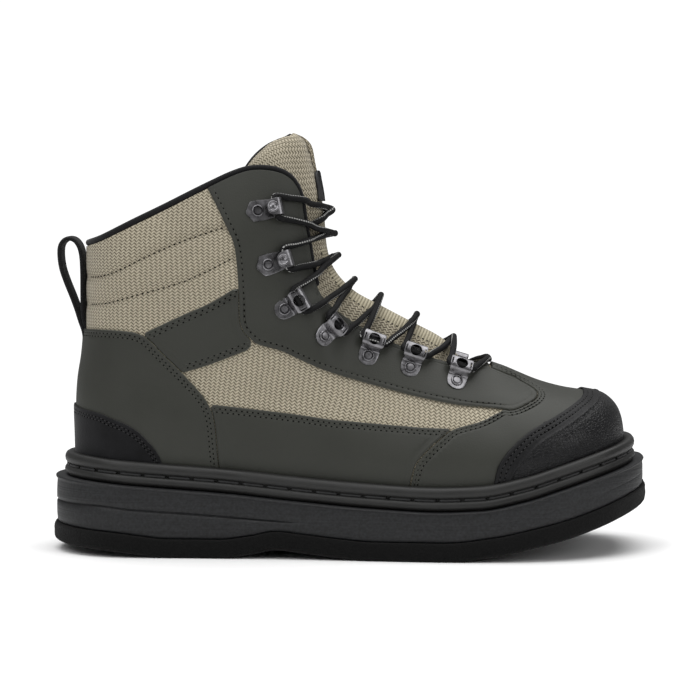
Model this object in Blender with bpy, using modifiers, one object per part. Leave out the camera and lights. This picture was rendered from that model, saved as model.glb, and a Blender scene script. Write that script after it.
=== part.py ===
"""Felt-soled wading boot for the right foot, empty and standing on its sole.

The boot points along +X with its outer (lateral) side at -Y and its inner (medial) side at +Y.
The origin is on the floor, under the middle of the sole. Sizes are in millimetres until place().

The upper is one function: for a point (x, z) of the boot's side view, side_y() gives how far
the outer or the inner side stands from the middle plane. Every other piece is worked out from it.
"""

import math
from functools import partial

import bmesh
import bpy
import numpy as np
from mathutils import Matrix, Vector

MM = 0.001

# Driving sizes
UPPER_LENGTH = 291.0
COLLAR_HEIGHT = 205.0
BALL_WIDTH = 101.0
SHAFT_WIDTH = 80.0
TOE_SPRING = 25.0
ARCH_RISE = 5.0
HEEL_BEVEL = 4.0
HEEL_STACK = 39.0
ANKLE_HEIGHT = 118.0
CLEARANCE = 0.3

# Thicknesses of the materials
FELT = 9.8
WELT_HEIGHT = 12.8
WALL = 3.0
COLLAR_PADDING = 7.0
LEATHER = 1.2
CAP_OVERLAP = 9.0
INSOLE = 5.0
TONGUE_MIDDLE = 8.5
TONGUE_EDGE = 4.0
TONGUE_UNDER = WALL + 7 * CLEARANCE
TONGUE_FREE = 5.0
TONGUE_TUCK = 14.0
LABEL = 0.8

# How far each sole layer stands out past the upper, at the toe and heel and at the sides
FELT_OUT = (14.4, 12.0)
MIDSOLE_OUT = (12.8, 10.4)
WELT_OUT = (7.8, 6.2)
HEEL_GROOVE = 0.9

# Small parts
BINDING_RADIUS = 1.8
BINDING_END = 0.69
LOOP_WIDTH = 20.0
LACE_RADIUS = 1.6
PLATE = 1.0
RIVET_RADIUS = 3.1
RIVET_HEIGHT = 1.3
EYELET_END_RADIUS = 5.4
EYELET_REACH = 8.4
TUNNEL_LENGTH = 9.4
TUNNEL_WIDTH = 12.4
TUNNEL_GAP = 4.2
TUNNEL_HOLE_RADIUS = 2.5
HOOK_DISC_RADIUS = 4.3
HOOK_WIDTH = 9.0

# Mesh fineness
LEVELS = 7
LACE_SIDES = 6

# Side view of the upper without its throat, from above the collar down the instep to the toe:
# x as a share of UPPER_LENGTH from the middle, height as a share of COLLAR_HEIGHT
FRONT_LINE = (
    (-0.090, 1.140), (-0.067, 1.034), (-0.056, 0.951), (-0.048, 0.868), (-0.043, 0.790),
    (-0.029, 0.732), (0.006, 0.678), (0.054, 0.640), (0.110, 0.598), (0.172, 0.553),
    (0.216, 0.517), (0.252, 0.4867), (0.292, 0.466), (0.344, 0.434), (0.392, 0.414), (0.436, 0.403),
    (0.465, 0.393), (0.484, 0.372), (0.494, 0.343), (0.499, 0.300), (0.501, 0.262), (0.501, 0.190),
)
NOSE_HEIGHT = 0.345

# Back of the heel and shaft, in the same shares
BACK_LINE = (
    (-0.486, 1.140), (-0.487, 0.732), (-0.489, 0.585), (-0.493, 0.512), (-0.500, 0.449),
    (-0.503, 0.380), (-0.502, 0.302), (-0.501, 0.220), (-0.500, 0.110),
)

# Edge of the throat from its top corner down to its base on the ridge
THROAT_LINE = (
    (-0.090, 0.900), (-0.085, 0.854), (-0.078, 0.800), (-0.071, 0.740), (-0.061, 0.684),
    (-0.038, 0.641), (0.012, 0.590), (0.092, 0.534), (0.165, 0.496), (0.213, 0.481),
    (0.240, 0.479), (0.252, 0.4867),
)

# Edge of the collar from the throat's top corner round to the back
COLLAR_LINE = (
    (-0.090, 0.900), (-0.097, 0.938), (-0.112, 0.969), (-0.135, 0.985), (-0.170, 0.990),
    (-0.205, 0.979), (-0.268, 0.937), (-0.330, 0.892), (-0.395, 0.847), (-0.450, 0.810),
    (-0.487, 0.793),
)

# Upright sections of the upper from heel to toe: how far along the top edge (0 to 1 the collar,
# 1 to 2 the throat, 2 to 3 the ridge) and the share of the bottom edge's length
SECTIONS = (
    (0.000, 0.000), (0.014, 0.006), (0.055, 0.022), (0.120, 0.048), (0.215, 0.086), (0.340, 0.138),
    (0.490, 0.200), (0.655, 0.262), (0.800, 0.318), (0.910, 0.362), (1.000, 0.400), (1.100, 0.440),
    (1.250, 0.495), (1.440, 0.550), (1.640, 0.610), (1.820, 0.665), (1.940, 0.715), (2.000, 0.760),
    (2.220, 0.820), (2.410, 0.872), (2.570, 0.917), (2.720, 0.952), (2.850, 0.978), (2.950, 0.994),
    (3.000, 1.000),
)

# Half widths at the bottom of the upper: x, outer side and inner side as shares of BALL_WIDTH
BASE_WIDTHS = (
    (-0.50, 0.330, 0.330), (-0.38, 0.334, 0.332), (-0.28, 0.347, 0.336), (-0.16, 0.371, 0.330),
    (-0.03, 0.416, 0.350), (0.09, 0.465, 0.412), (0.19, 0.495, 0.474), (0.27, 0.500, 0.500),
    (0.36, 0.488, 0.500), (0.50, 0.450, 0.462),
)

# Half width of the ankle and shaft: height as a share of COLLAR_HEIGHT, share of SHAFT_WIDTH
SHAFT_WIDTHS = (
    (0.20, 0.425), (0.40, 0.432), (0.58, 0.445), (0.72, 0.475), (0.86, 0.497), (1.00, 0.495),
    (1.15, 0.480),
)

# Middle of the boot, which swings to the inner side at the toe: x, share of BALL_WIDTH
MIDDLE_LINE = ((-0.50, 0.0), (0.00, 0.0), (0.20, 0.018), (0.35, 0.050), (0.50, 0.085))

# How the top of each cross section rounds off: x, radius as a share of COLLAR_HEIGHT, fullness
TOP_ROUNDING = (
    (-0.10, 0.440, 1.75), (0.08, 0.385, 1.75), (0.17, 0.310, 1.80), (0.26, 0.250, 1.95),
    (0.34, 0.185, 2.15), (0.42, 0.140, 2.30), (0.52, 0.120, 2.30),
)
HEEL_RADIUS = 0.32
TOE_RADIUS_OUTER = 0.66
TOE_RADIUS_INNER = 0.52
SHAFT_FRONT_RADIUS = 0.62
TOE_FULLNESS = 2.6
SHAFT_FULLNESS = 2.0
SIDE_BULGE = 2.0
BULGE_HEIGHT = 40.0

# Lines of the sole: x, rise of the felt's underside (shares of the three rises named above)
# and top of the midsole as a share of HEEL_STACK
SOLE_RISE = (
    (-0.550, "HEEL_BEVEL", 1.25), (-0.500, "HEEL_BEVEL", 1.06), (-0.430, "HEEL_BEVEL", 0.78),
    (-0.380, "HEEL_BEVEL", 0.36), (-0.335, "HEEL_BEVEL", 0.0), (-0.235, "HEEL_BEVEL", 0.0),
    (-0.180, "ARCH_RISE", 0.42), (-0.135, "ARCH_RISE", 0.92), (-0.090, "ARCH_RISE", 0.68),
    (-0.030, "ARCH_RISE", 0.30), (0.040, "ARCH_RISE", 0.0), (0.170, "ARCH_RISE", 0.0),
    (0.250, "TOE_SPRING", 0.10), (0.325, "TOE_SPRING", 0.28), (0.390, "TOE_SPRING", 0.46),
    (0.450, "TOE_SPRING", 0.67), (0.515, "TOE_SPRING", 0.92), (0.560, "TOE_SPRING", 1.08),
)
MIDSOLE_TOP = (
    (-0.56, 1.040), (-0.46, 1.000), (-0.35, 0.935), (-0.23, 0.870), (-0.11, 0.780), (0.03, 0.695),
    (0.15, 0.655), (0.23, 0.675), (0.31, 0.790), (0.38, 0.945), (0.45, 1.095), (0.52, 1.225),
    (0.56, 1.290),
)

# Edges of the overlays in the side view, all in the upper's shares
HEEL_PANEL_EDGE = (
    (-0.520, 0.576), (-0.455, 0.582), (-0.405, 0.580), (-0.380, 0.572), (-0.362, 0.555),
    (-0.341, 0.523), (-0.301, 0.467), (-0.270, 0.418), (-0.257, 0.391), (-0.248, 0.358),
    (-0.243, 0.302), (-0.237, 0.180),
)
EYESTAY_BACK = (
    (-0.268, 1.000), (-0.259, 0.949), (-0.238, 0.890), (-0.222, 0.843), (-0.211, 0.809),
    (-0.206, 0.770), (-0.203, 0.722), (-0.201, 0.660), (-0.200, 0.609), (-0.193, 0.579),
    (-0.179, 0.559),
)
EYESTAY_LOW = (
    (-0.179, 0.559), (-0.168, 0.546), (-0.125, 0.529), (-0.093, 0.508), (-0.029, 0.469), (0.050, 0.435),
    (0.123, 0.408), (0.193, 0.388), (0.236, 0.382), (0.278, 0.376),
)
EYESTAY_TIP = (
    (0.278, 0.376), (0.293, 0.373), (0.319, 0.386), (0.337, 0.398), (0.342, 0.409),
    (0.336, 0.419), (0.322, 0.431), (0.297, 0.449), (0.257, 0.472),
)
BAND_TOP = ((-0.400, 0.553), (-0.368, 0.578), (-0.307, 0.619), (-0.250, 0.655), (-0.204, 0.695))
BAND_BOTTOM = ((-0.307, 0.471), (-0.250, 0.496), (-0.208, 0.519), (-0.169, 0.541))
MUDGUARD_TOP = (
    (-0.270, 0.394), (-0.179, 0.380), (-0.090, 0.365), (-0.035, 0.354), (0.022, 0.346),
    (0.078, 0.339), (0.134, 0.333), (0.187, 0.331),
)
VAMP_EDGE = (
    (0.278, 0.376), (0.234, 0.348), (0.187, 0.331), (0.162, 0.306), (0.134, 0.271),
    (0.115, 0.233), (0.104, 0.150),
)
TOE_CAP_EDGE = (
    (0.436, 0.450), (0.432, 0.404), (0.404, 0.378), (0.365, 0.351), (0.325, 0.324),
    (0.302, 0.300), (0.283, 0.276), (0.269, 0.251), (0.261, 0.227), (0.252, 0.150),
)
HEEL_CAP_EDGE = (
    (-0.530, 0.392), (-0.495, 0.378), (-0.452, 0.367), (-0.432, 0.356), (-0.405, 0.341),
    (-0.382, 0.320), (-0.366, 0.297), (-0.352, 0.274), (-0.341, 0.239), (-0.335, 0.150),
)

# Tongue from under the vamp to its top, row by row on the front line: x and height, how far back
# its edges reach (share of SHAFT_WIDTH), how far they drop (share of COLLAR_HEIGHT), how much it
# swells out of the throat (1 up to the front line) and thins at its rim (share of TONGUE_MIDDLE)
TONGUE_ROWS = (
    (0.300, 0.4615, 0.110, 0.000, 0.0, 0.00), (0.256, 0.4840, 0.150, 0.000, 0.0, 0.00),
    (0.216, 0.5170, 0.190, 0.000, 0.0, 0.00), (0.172, 0.5530, 0.220, 0.000, 0.9, 0.00),
    (0.110, 0.5980, 0.240, 0.000, 1.0, 0.00), (0.054, 0.6400, 0.250, 0.000, 1.0, 0.00),
    (0.006, 0.6780, 0.260, 0.000, 1.0, 0.00), (-0.029, 0.7320, 0.300, 0.000, 1.0, 0.00),
    (-0.043, 0.7900, 0.350, 0.000, 1.0, 0.00), (-0.048, 0.8680, 0.390, 0.010, 1.0, 0.00),
    (-0.056, 0.9510, 0.460, 0.035, 1.0, 0.00), (-0.0645, 1.0120, 0.480, 0.072, 1.0, 0.00),
    (-0.070, 1.0560, 0.490, 0.098, 1.0, 0.04), (-0.077, 1.0880, 0.480, 0.120, 1.0, 0.32),
)
TONGUE_ACROSS = 10
LABEL_ROWS = (
    (-0.0520, 0.9120, 0.075, 0.00, 1.0, 0.00), (-0.0545, 0.9390, 0.075, 0.00, 1.0, 0.00),
    (-0.0585, 0.9690, 0.075, 0.00, 1.0, 0.00), (-0.0605, 0.9850, 0.075, 0.00, 1.0, 0.00),
)

# Lacing from the top down: rivet and the point that the lace passes, in the upper's shares
LACE_STOPS = (
    ("hook", -0.168, 0.886, -0.138, 0.893), ("hook", -0.150, 0.750, -0.119, 0.764),
    ("eyelet", -0.119, 0.636, -0.091, 0.659), ("eyelet", -0.050, 0.567, -0.028, 0.603),
    ("eyelet", 0.031, 0.511, 0.041, 0.553), ("eyelet", 0.108, 0.479, 0.118, 0.520),
    ("eyelet", 0.192, 0.444, 0.200, 0.483),
)
# Where the two strands between one pair of stops and the next cross, over the tongue
LACE_CROSSINGS = (
    (-0.0345, 0.816), (-0.0245, 0.761), (0.0065, 0.707), (0.0535, 0.668), (0.1205, 0.618),
    (0.1945, 0.559),
)
LACE_TOP_CROSSING = (-0.0290, 0.880)
LACE_TOP_TUCK = (-0.068, 0.862)
LACE_TUCK_WIDTH = 15.0
LACE_BOTTOM_BAR = (0.229, 0.520)
STRAND_LIFT = 1.8
STRAND_OVER = LEATHER + 8 * CLEARANCE + LACE_RADIUS
STRAND_LEAD = 3.0

# Side view of the pull loop: its outside, and the opening for a finger
LOOP_OUTSIDE = (
    (-0.4925, 0.585), (-0.4925, 0.680), (-0.4925, 0.770), (-0.4960, 0.798), (-0.5070, 0.816),
    (-0.5190, 0.820), (-0.5310, 0.814), (-0.5380, 0.801), (-0.5390, 0.776), (-0.5370, 0.750),
    (-0.5295, 0.703), (-0.5195, 0.668), (-0.5090, 0.637), (-0.5030, 0.612), (-0.5010, 0.585),
)
LOOP_OPENING = (
    (-0.5010, 0.655), (-0.5010, 0.705), (-0.5010, 0.765), (-0.5035, 0.788), (-0.5110, 0.802),
    (-0.5190, 0.806), (-0.5265, 0.801), (-0.5295, 0.788), (-0.5295, 0.768), (-0.5275, 0.740),
    (-0.5210, 0.712), (-0.5125, 0.682), (-0.5055, 0.660),
)


def curve_through(points, per_span=8):
    """A smooth line through the points (Catmull-Rom), as an array."""
    rows = np.array(points, float)
    ends = np.vstack([2 * rows[0] - rows[1], rows, 2 * rows[-1] - rows[-2]])
    line = []
    for a, b, c, d in zip(ends[:-3], ends[1:-2], ends[2:-1], ends[3:]):
        for t in np.arange(per_span) / per_span:
            line.append(0.5 * (2 * b + (c - a) * t + (2 * a - 5 * b + 4 * c - d) * t**2
                               + (3 * b - a - 3 * c + d) * t**3))
    return np.array([*line, rows[-1]])


def in_sizes(shares):
    """Turns (x share, height share) rows into millimetres."""
    return np.array(shares, float) * (UPPER_LENGTH, COLLAR_HEIGHT)


def read(table, x, column=1):
    """Value of a table's column at x, on a line that keeps flat stretches flat."""
    xs = np.array([row[0] for row in table], float)
    ys = np.array([row[column] for row in table], float)
    slope = np.diff(ys) / np.diff(xs)
    tangent = np.zeros(len(xs))
    tangent[1:-1] = np.where(slope[1:] * slope[:-1] > 0,
                             2 * slope[1:] * slope[:-1] / (slope[1:] + slope[:-1] + 1e-30), 0)
    tangent[0], tangent[-1] = slope[0], slope[-1]
    x = min(max(x, xs[0]), xs[-1])
    i = min(int(np.searchsorted(xs, x, "right")) - 1, len(xs) - 2)
    width = xs[i + 1] - xs[i]
    t = (x - xs[i]) / width
    return float((1 + 2 * t) * (1 - t) ** 2 * ys[i] + t * (1 - t) ** 2 * width * tangent[i]
                 + t * t * (3 - 2 * t) * ys[i + 1] + t * t * (t - 1) * width * tangent[i + 1])


def smooth(t):
    """0 to 1 with a soft start and end."""
    t = min(max(t, 0.0), 1.0)
    return t * t * (3 - 2 * t)


FRONT = curve_through(in_sizes(FRONT_LINE))
BACK = curve_through(in_sizes(BACK_LINE))
RISES = {"HEEL_BEVEL": HEEL_BEVEL, "ARCH_RISE": ARCH_RISE, "TOE_SPRING": TOE_SPRING}
SOLE_BOTTOM = [(x, RISES[rise] * share) for x, rise, share in SOLE_RISE]


def front_x(z):
    return float(np.interp(-z, -FRONT[:, 1], FRONT[:, 0]))


def front_z(x):
    return float(np.interp(x, FRONT[:, 0], FRONT[:, 1]))


def back_x(z):
    return float(np.interp(-z, -BACK[:, 1], BACK[:, 0]))


def sole_bottom(x):
    return read(SOLE_BOTTOM, x / UPPER_LENGTH)


def midsole_top(x):
    return HEEL_STACK * read(MIDSOLE_TOP, x / UPPER_LENGTH)


def feather_z(x):
    """Height of the welt's top, where the upper comes out of the sole."""
    return midsole_top(x) + WELT_HEIGHT


def middle_y(x):
    """The boot's middle at x."""
    return BALL_WIDTH * read(MIDDLE_LINE, x / UPPER_LENGTH)


def rounding(distance, radius, fullness=2.0):
    """0 on an edge, rising steeply to 1 at the radius, as a round end does."""
    t = min(max(distance / radius, 0.0), 1.0)
    return max((1 - (1 - t) ** fullness) ** (1 / fullness), 1e-4)


def side_y(x, z, side):
    """Y of the upper's outer face at (x, z), on the outer side (-1) or the inner side (1)."""
    share = x / UPPER_LENGTH
    base = BALL_WIDTH * read(BASE_WIDTHS, share, 1 if side < 0 else 2)
    shaft = SHAFT_WIDTH * read(SHAFT_WIDTHS, z / COLLAR_HEIGHT)
    bottom = feather_z(x)
    width = base + (shaft - base) * smooth((z - bottom) / (ANKLE_HEIGHT - bottom))
    width += SIDE_BULGE * math.sin(math.pi * min(max((z - bottom) / BULGE_HEIGHT, 0), 1))
    toe_radius = BALL_WIDTH * (TOE_RADIUS_OUTER if side < 0 else TOE_RADIUS_INNER)
    up = smooth((z / COLLAR_HEIGHT - 0.42) / 0.24)
    front_radius = toe_radius + (SHAFT_WIDTH * SHAFT_FRONT_RADIUS - toe_radius) * up
    fullness = TOE_FULLNESS + (SHAFT_FULLNESS - TOE_FULLNESS) * up
    height = max(front_z(x) - bottom, 1.0)
    top_radius = min(COLLAR_HEIGHT * read(TOP_ROUNDING, share), 0.92 * height)
    parts = (
        rounding(x - back_x(z), BALL_WIDTH * HEEL_RADIUS),
        rounding(front_x(z) - x, front_radius, fullness),
        rounding(front_z(x) - z, top_radius, read(TOP_ROUNDING, share, 2)),
    )
    full = (sum(part**-2 for part in parts) - 2) ** -0.5
    middle = middle_y(x)
    return middle * (1 - full) + side * width * full


def surface(x, z, side, out=0.0):
    """Point of the upper at (x, z), moved out from its face, and the face's normal."""
    step = 0.4
    y = side_y(x, z, side)
    slope_x = (side_y(x + step, z, side) - side_y(x - step, z, side)) / (2 * step)
    slope_z = (side_y(x, z + step, side) - side_y(x, z - step, side)) / (2 * step)
    normal = Vector((-slope_x, 1, -slope_z)).normalized() * side
    return Vector((x, y, z)) + normal * out, normal


def along(line, share):
    """Point at a share of a line's length."""
    lengths = np.concatenate([[0], np.cumsum(np.linalg.norm(np.diff(line, axis=0), axis=1))])
    at = share * lengths[-1]
    return np.array([np.interp(at, lengths, line[:, k]) for k in (0, 1)])


THROAT = curve_through(in_sizes(THROAT_LINE))
COLLAR = curve_through(in_sizes(COLLAR_LINE))
THROAT_BASE_X = THROAT[-1, 0]


def bottom_edge_z(x):
    """Height of the upper's lower edge, inside the welt and just above the midsole."""
    return midsole_top(x) + CLEARANCE


def top_edge():
    """The collar from the back, the throat, and the ridge to the nose of the toe."""
    ridge = FRONT[(FRONT[:, 0] > THROAT_BASE_X + 0.5) & (FRONT[:, 1] > NOSE_HEIGHT * COLLAR_HEIGHT)]
    nose = (front_x(NOSE_HEIGHT * COLLAR_HEIGHT), NOSE_HEIGHT * COLLAR_HEIGHT)
    return COLLAR[::-1], THROAT, np.vstack([THROAT[-1], ridge, nose])


def bottom_edge():
    """Lower edge of the upper from the heel to the toe."""
    heel_x = back_x(bottom_edge_z(BACK[-1, 0]))
    tip_x = front_x(bottom_edge_z(FRONT[-1, 0]))
    return np.array([(x, bottom_edge_z(x)) for x in np.linspace(heel_x, tip_x, 120)])


def side_sections():
    """Rows of side-view points (x, z), one row for each section, from the bottom edge to the top.

    The second point of each row is on the feather line, at the welt's top."""
    top, bottom = top_edge(), bottom_edge()
    rows = []
    for top_place, bottom_share in SECTIONS:
        part = min(int(top_place), 2)
        low, high = along(bottom, bottom_share), along(top[part], top_place - part)
        feather = (WELT_HEIGHT - CLEARANCE) / (high[1] - low[1])
        above = 1 - (1 - np.arange(LEVELS) / (LEVELS - 1)) ** 1.5
        heights = np.array([0, *(feather + (1 - feather) * above)])
        row = low + (high - low) * heights[:, None]
        for edge_x, weight in ((back_x, 1 - smooth(bottom_share / 0.3)),
                               (front_x, smooth((bottom_share - 0.88) / 0.12))):
            straight = np.interp(row[:, 1], (low[1], high[1]), (edge_x(low[1]), edge_x(high[1])))
            row[:, 0] += (np.array([edge_x(z) for z in row[:, 1]]) - straight) * weight
        rows.append(row)
    return rows


def place(point):
    """From millimetres in the boot's own place to metres with the sole's middle at the origin."""
    return (Vector(point) + SHIFT) * MM


def new_object(name, mesh, material):
    obj = bpy.data.objects.new(name, mesh)
    PARTS.objects.link(obj)
    mesh.materials.append(material)
    return obj


def mesh_from(bm, name, weld=0.02):
    """Welds, faces outward and stores a bmesh."""
    bmesh.ops.remove_doubles(bm, verts=bm.verts, dist=weld * MM)
    bmesh.ops.recalc_face_normals(bm, faces=bm.faces)
    mesh = bpy.data.meshes.new(name)
    bm.to_mesh(mesh)
    bm.free()
    return mesh


def material(name, colour, roughness, metallic=0.0):
    made = bpy.data.materials.new(name)
    made.use_nodes = True
    shader = made.node_tree.nodes["Principled BSDF"]
    shader.inputs["Base Color"].default_value = (*colour, 1)
    shader.inputs["Roughness"].default_value = roughness
    shader.inputs["Metallic"].default_value = metallic
    return made


def finished(obj):
    """Replaces an object's mesh by what its modifiers make of it, and drops the modifiers."""
    graph = bpy.context.evaluated_depsgraph_get()
    mesh = bpy.data.meshes.new_from_object(obj.evaluated_get(graph))
    obj.modifiers.clear()
    obj.data = mesh
    return obj


def skin(out):
    """The upper's outer face as an open mesh, moved out by the given distance."""
    bm = bmesh.new()
    rows = side_sections()
    for side in (-1, 1):
        grid = []
        for number, row in enumerate(rows):
            points = [surface(x, z, side, out)[0] for x, z in row]
            if number in (0, len(rows) - 1):
                for point in points:
                    point.y = middle_y(point.x)
            if row[-1][0] > THROAT_BASE_X - 0.1:
                points[-1].y = middle_y(row[-1][0])
            grid.append([bm.verts.new(place(point)) for point in points])
        for row, following in zip(grid[:-1], grid[1:]):
            for j in range(LEVELS):
                first = (row[j], following[j], following[j + 1])
                second = (row[j], following[j + 1], row[j + 1])
                for corners in (first, second):
                    bm.faces.new(corners if side < 0 else corners[::-1])
    bmesh.ops.remove_doubles(bm, verts=bm.verts, dist=0.1 * MM)
    return bm


def make_upper():
    """The cloth shell, thicker where the collar is padded."""
    mesh = mesh_from(skin(0.0), "upper")
    obj = new_object("upper", mesh, MATERIALS["mesh_cloth"])
    group = obj.vertex_groups.new(name="padding")
    for vert in mesh.vertices:
        height = (vert.co.z / MM) / COLLAR_HEIGHT
        front = (vert.co.x / MM) / UPPER_LENGTH
        padded = smooth((height - 0.62) / 0.12) * smooth((-0.20 - front) / 0.08)
        thin = WALL / COLLAR_PADDING
        group.add([vert.index], thin + (1 - thin) * padded, "REPLACE")
    wall = obj.modifiers.new("wall", "SOLIDIFY")
    wall.thickness = COLLAR_PADDING * MM
    wall.offset = -1
    wall.vertex_group = group.name
    return finished(obj)


def bottom_clip(first_x, last_x, lift):
    """Points just above the welt from one x to another, as the lower edge of an overlay."""
    return [(x, feather_z(x) + lift) for x in np.linspace(first_x, last_x, 8)]


def prism(name, outline, low_y, high_y):
    """A side-view outline extended from low_y to high_y, as a hidden cutter."""
    bm = bmesh.new()
    face = bm.faces.new([bm.verts.new(place((x, low_y, z))) for x, z in outline])
    moved = bmesh.ops.extrude_face_region(bm, geom=[face])["geom"]
    shift = Vector((0, high_y - low_y, 0)) * MM
    bmesh.ops.translate(bm, verts=[v for v in moved if isinstance(v, bmesh.types.BMVert)], vec=shift)
    mesh = mesh_from(bm, name)
    obj = bpy.data.objects.new(name, mesh)
    CUTTERS.objects.link(obj)
    obj.hide_render = True
    obj.display_type = "WIRE"
    return obj


def overlay(name, outline, layer, low_y, high_y, finish):
    """A leather piece cut between two larger forms of the upper, by its outline in the side view."""
    inside = CLEARANCE + layer * (LEATHER + CLEARANCE)
    mesh = mesh_from(skin(inside), name)
    obj = new_object(name, mesh, MATERIALS[finish])
    thick = obj.modifiers.new("leather", "SOLIDIFY")
    thick.thickness = LEATHER * MM
    thick.offset = 1
    cut = obj.modifiers.new("outline", "BOOLEAN")
    cut.operation = "INTERSECT"
    cut.object = prism(name + "_outline", outline, low_y, high_y)
    return finished(obj)


def edge(shares):
    return [tuple(p) for p in curve_through(in_sizes(shares), per_span=2)]


def moved_aside(line, distance):
    """A side-view line moved to its left by a distance."""
    line = np.array(line)
    run = np.gradient(line, axis=0)
    run /= np.linalg.norm(run, axis=1)[:, None]
    return [tuple(p) for p in line + np.stack([-run[:, 1], run[:, 0]], axis=1) * distance]


def plan_ring(depth, out, height=None):
    """Points round the upper at a depth below the welt's top, moved out, heel to toe on each side.

    out is how far at the toe and heel and how far at the sides. height, if given, sets z from x."""
    rows = side_sections()
    ring = []
    for side, order in ((-1, rows), (1, rows[::-1][1:-1])):
        for row in order:
            x, z = row[1] + (row[0] - row[1]) * depth / WELT_HEIGHT
            ring.append((x, side_y(x, z, side)))
    for tip in (0, len(rows) - 1):
        ring[tip] = (ring[tip][0], middle_y(ring[tip][0]))
    ring = np.array(ring)
    run = np.roll(ring, -1, axis=0) - np.roll(ring, 1, axis=0)
    run /= np.linalg.norm(run, axis=1)[:, None]
    normal = np.stack([run[:, 1], -run[:, 0]], axis=1)
    moved = ring + normal * np.array(out)
    height = height or (lambda x: feather_z(x) - depth)
    return [(x, y, height(x)) for x, y in moved]


def loft_rings(bm, rings):
    """Side faces between rings of points, low to high."""
    rows = [[bm.verts.new(place(p)) for p in ring] for ring in rings]
    for low, high in zip(rows[:-1], rows[1:]):
        for i in range(len(low)):
            k = (i + 1) % len(low)
            bm.faces.new((low[i], low[k], high[k], high[i]))
    return rows


def ladder(bm, ring):
    """Closes a ring of the sole with strips that run from side to side."""
    count = len(ring)
    half = count // 2
    pairs = [(ring[i], ring[(count - i) % count]) for i in range(half + 1)]
    for (a, b), (c, d) in zip(pairs[:-1], pairs[1:]):
        corners = []
        for vert in (a, c, d, b):
            if vert not in corners:
                corners.append(vert)
        bm.faces.new(corners)


def scaled(out, extra):
    return (out[0] + extra, out[1] + extra)


def felt_level(share, x):
    """Height of the felt at a share of its thickness."""
    return sole_bottom(x) + FELT * share


def make_felt():
    """The felt layer under the midsole, bevelled at its edges."""
    rings = [plan_ring(0, scaled(FELT_OUT, extra), partial(felt_level, share))
             for share, extra in ((0, -1.6), (0.14, 0.0), (0.80, 0.0), (1, -1.0))]
    bm = bmesh.new()
    rows = loft_rings(bm, rings)
    ladder(bm, rows[0])
    ladder(bm, rows[-1])
    return new_object("outsole_felt", mesh_from(bm, "outsole_felt"), MATERIALS["felt"])


def midsole_level(share, x):
    """Height of the midsole at a share of the way up its edge."""
    low = sole_bottom(x) + FELT + CLEARANCE
    return low + (midsole_top(x) - low) * share


def plateau_z(x):
    """Top of the midsole inside the upper, under the insole."""
    return feather_z(x) - INSOLE - 2 * CLEARANCE


def make_midsole():
    """The moulded layer, with a groove round its edge and a plateau inside the upper."""
    levels = ((0, -0.4), (0.50, 0.2), (0.55, 0.2 - HEEL_GROOVE), (0.60, 0.2), (1, -0.4))
    rings = [plan_ring(0, scaled(MIDSOLE_OUT, extra), partial(midsole_level, share))
             for share, extra in levels]
    inset = WALL + 4 * CLEARANCE
    rings.append(plan_ring(WELT_HEIGHT, (-inset, -inset), midsole_top))
    rings.append(plan_ring(INSOLE, (-inset, -inset), plateau_z))
    bm = bmesh.new()
    rows = loft_rings(bm, rings)
    ladder(bm, rows[0])
    ladder(bm, rows[-1])
    return new_object("midsole", mesh_from(bm, "midsole"), MATERIALS["rubber"])


def welt_level(share, x):
    """Height of the welt at a share of the way up its edge."""
    return feather_z(x) - (WELT_HEIGHT - CLEARANCE) * (1 - share)


def make_welt():
    """A strip with two rolls and a stitch channel between them, round the foot of the upper."""
    low = WELT_HEIGHT - CLEARANCE
    inner = (2 * CLEARANCE, 2 * CLEARANCE)
    rings = [plan_ring(low, inner)]
    for share, extra in ((0, 0.2), (0.42, 0.6), (0.52, -1.4), (0.62, 0.4), (1, -0.8)):
        height = partial(welt_level, share)
        rings.append(plan_ring(0, scaled(WELT_OUT, extra), height))
    rings.append(plan_ring(0, inner))
    bm = bmesh.new()
    rows = loft_rings(bm, rings)
    for i in range(len(rows[0])):
        k = (i + 1) % len(rows[0])
        bm.faces.new((rows[-1][i], rows[-1][k], rows[0][k], rows[0][i]))
    return new_object("welt", mesh_from(bm, "welt"), MATERIALS["rubber"])


def make_insole():
    """The footbed, lying on the midsole's plateau."""
    inset = WALL + 4 * CLEARANCE
    rings = [plan_ring(INSOLE, (-inset, -inset), lambda x: plateau_z(x) + CLEARANCE),
             plan_ring(0, (-inset - 0.5, -inset - 0.5), lambda x: plateau_z(x) + CLEARANCE + INSOLE)]
    bm = bmesh.new()
    rows = loft_rings(bm, rings)
    ladder(bm, rows[0])
    ladder(bm, rows[-1])
    return new_object("insole", mesh_from(bm, "insole"), MATERIALS["lining"])


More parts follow.
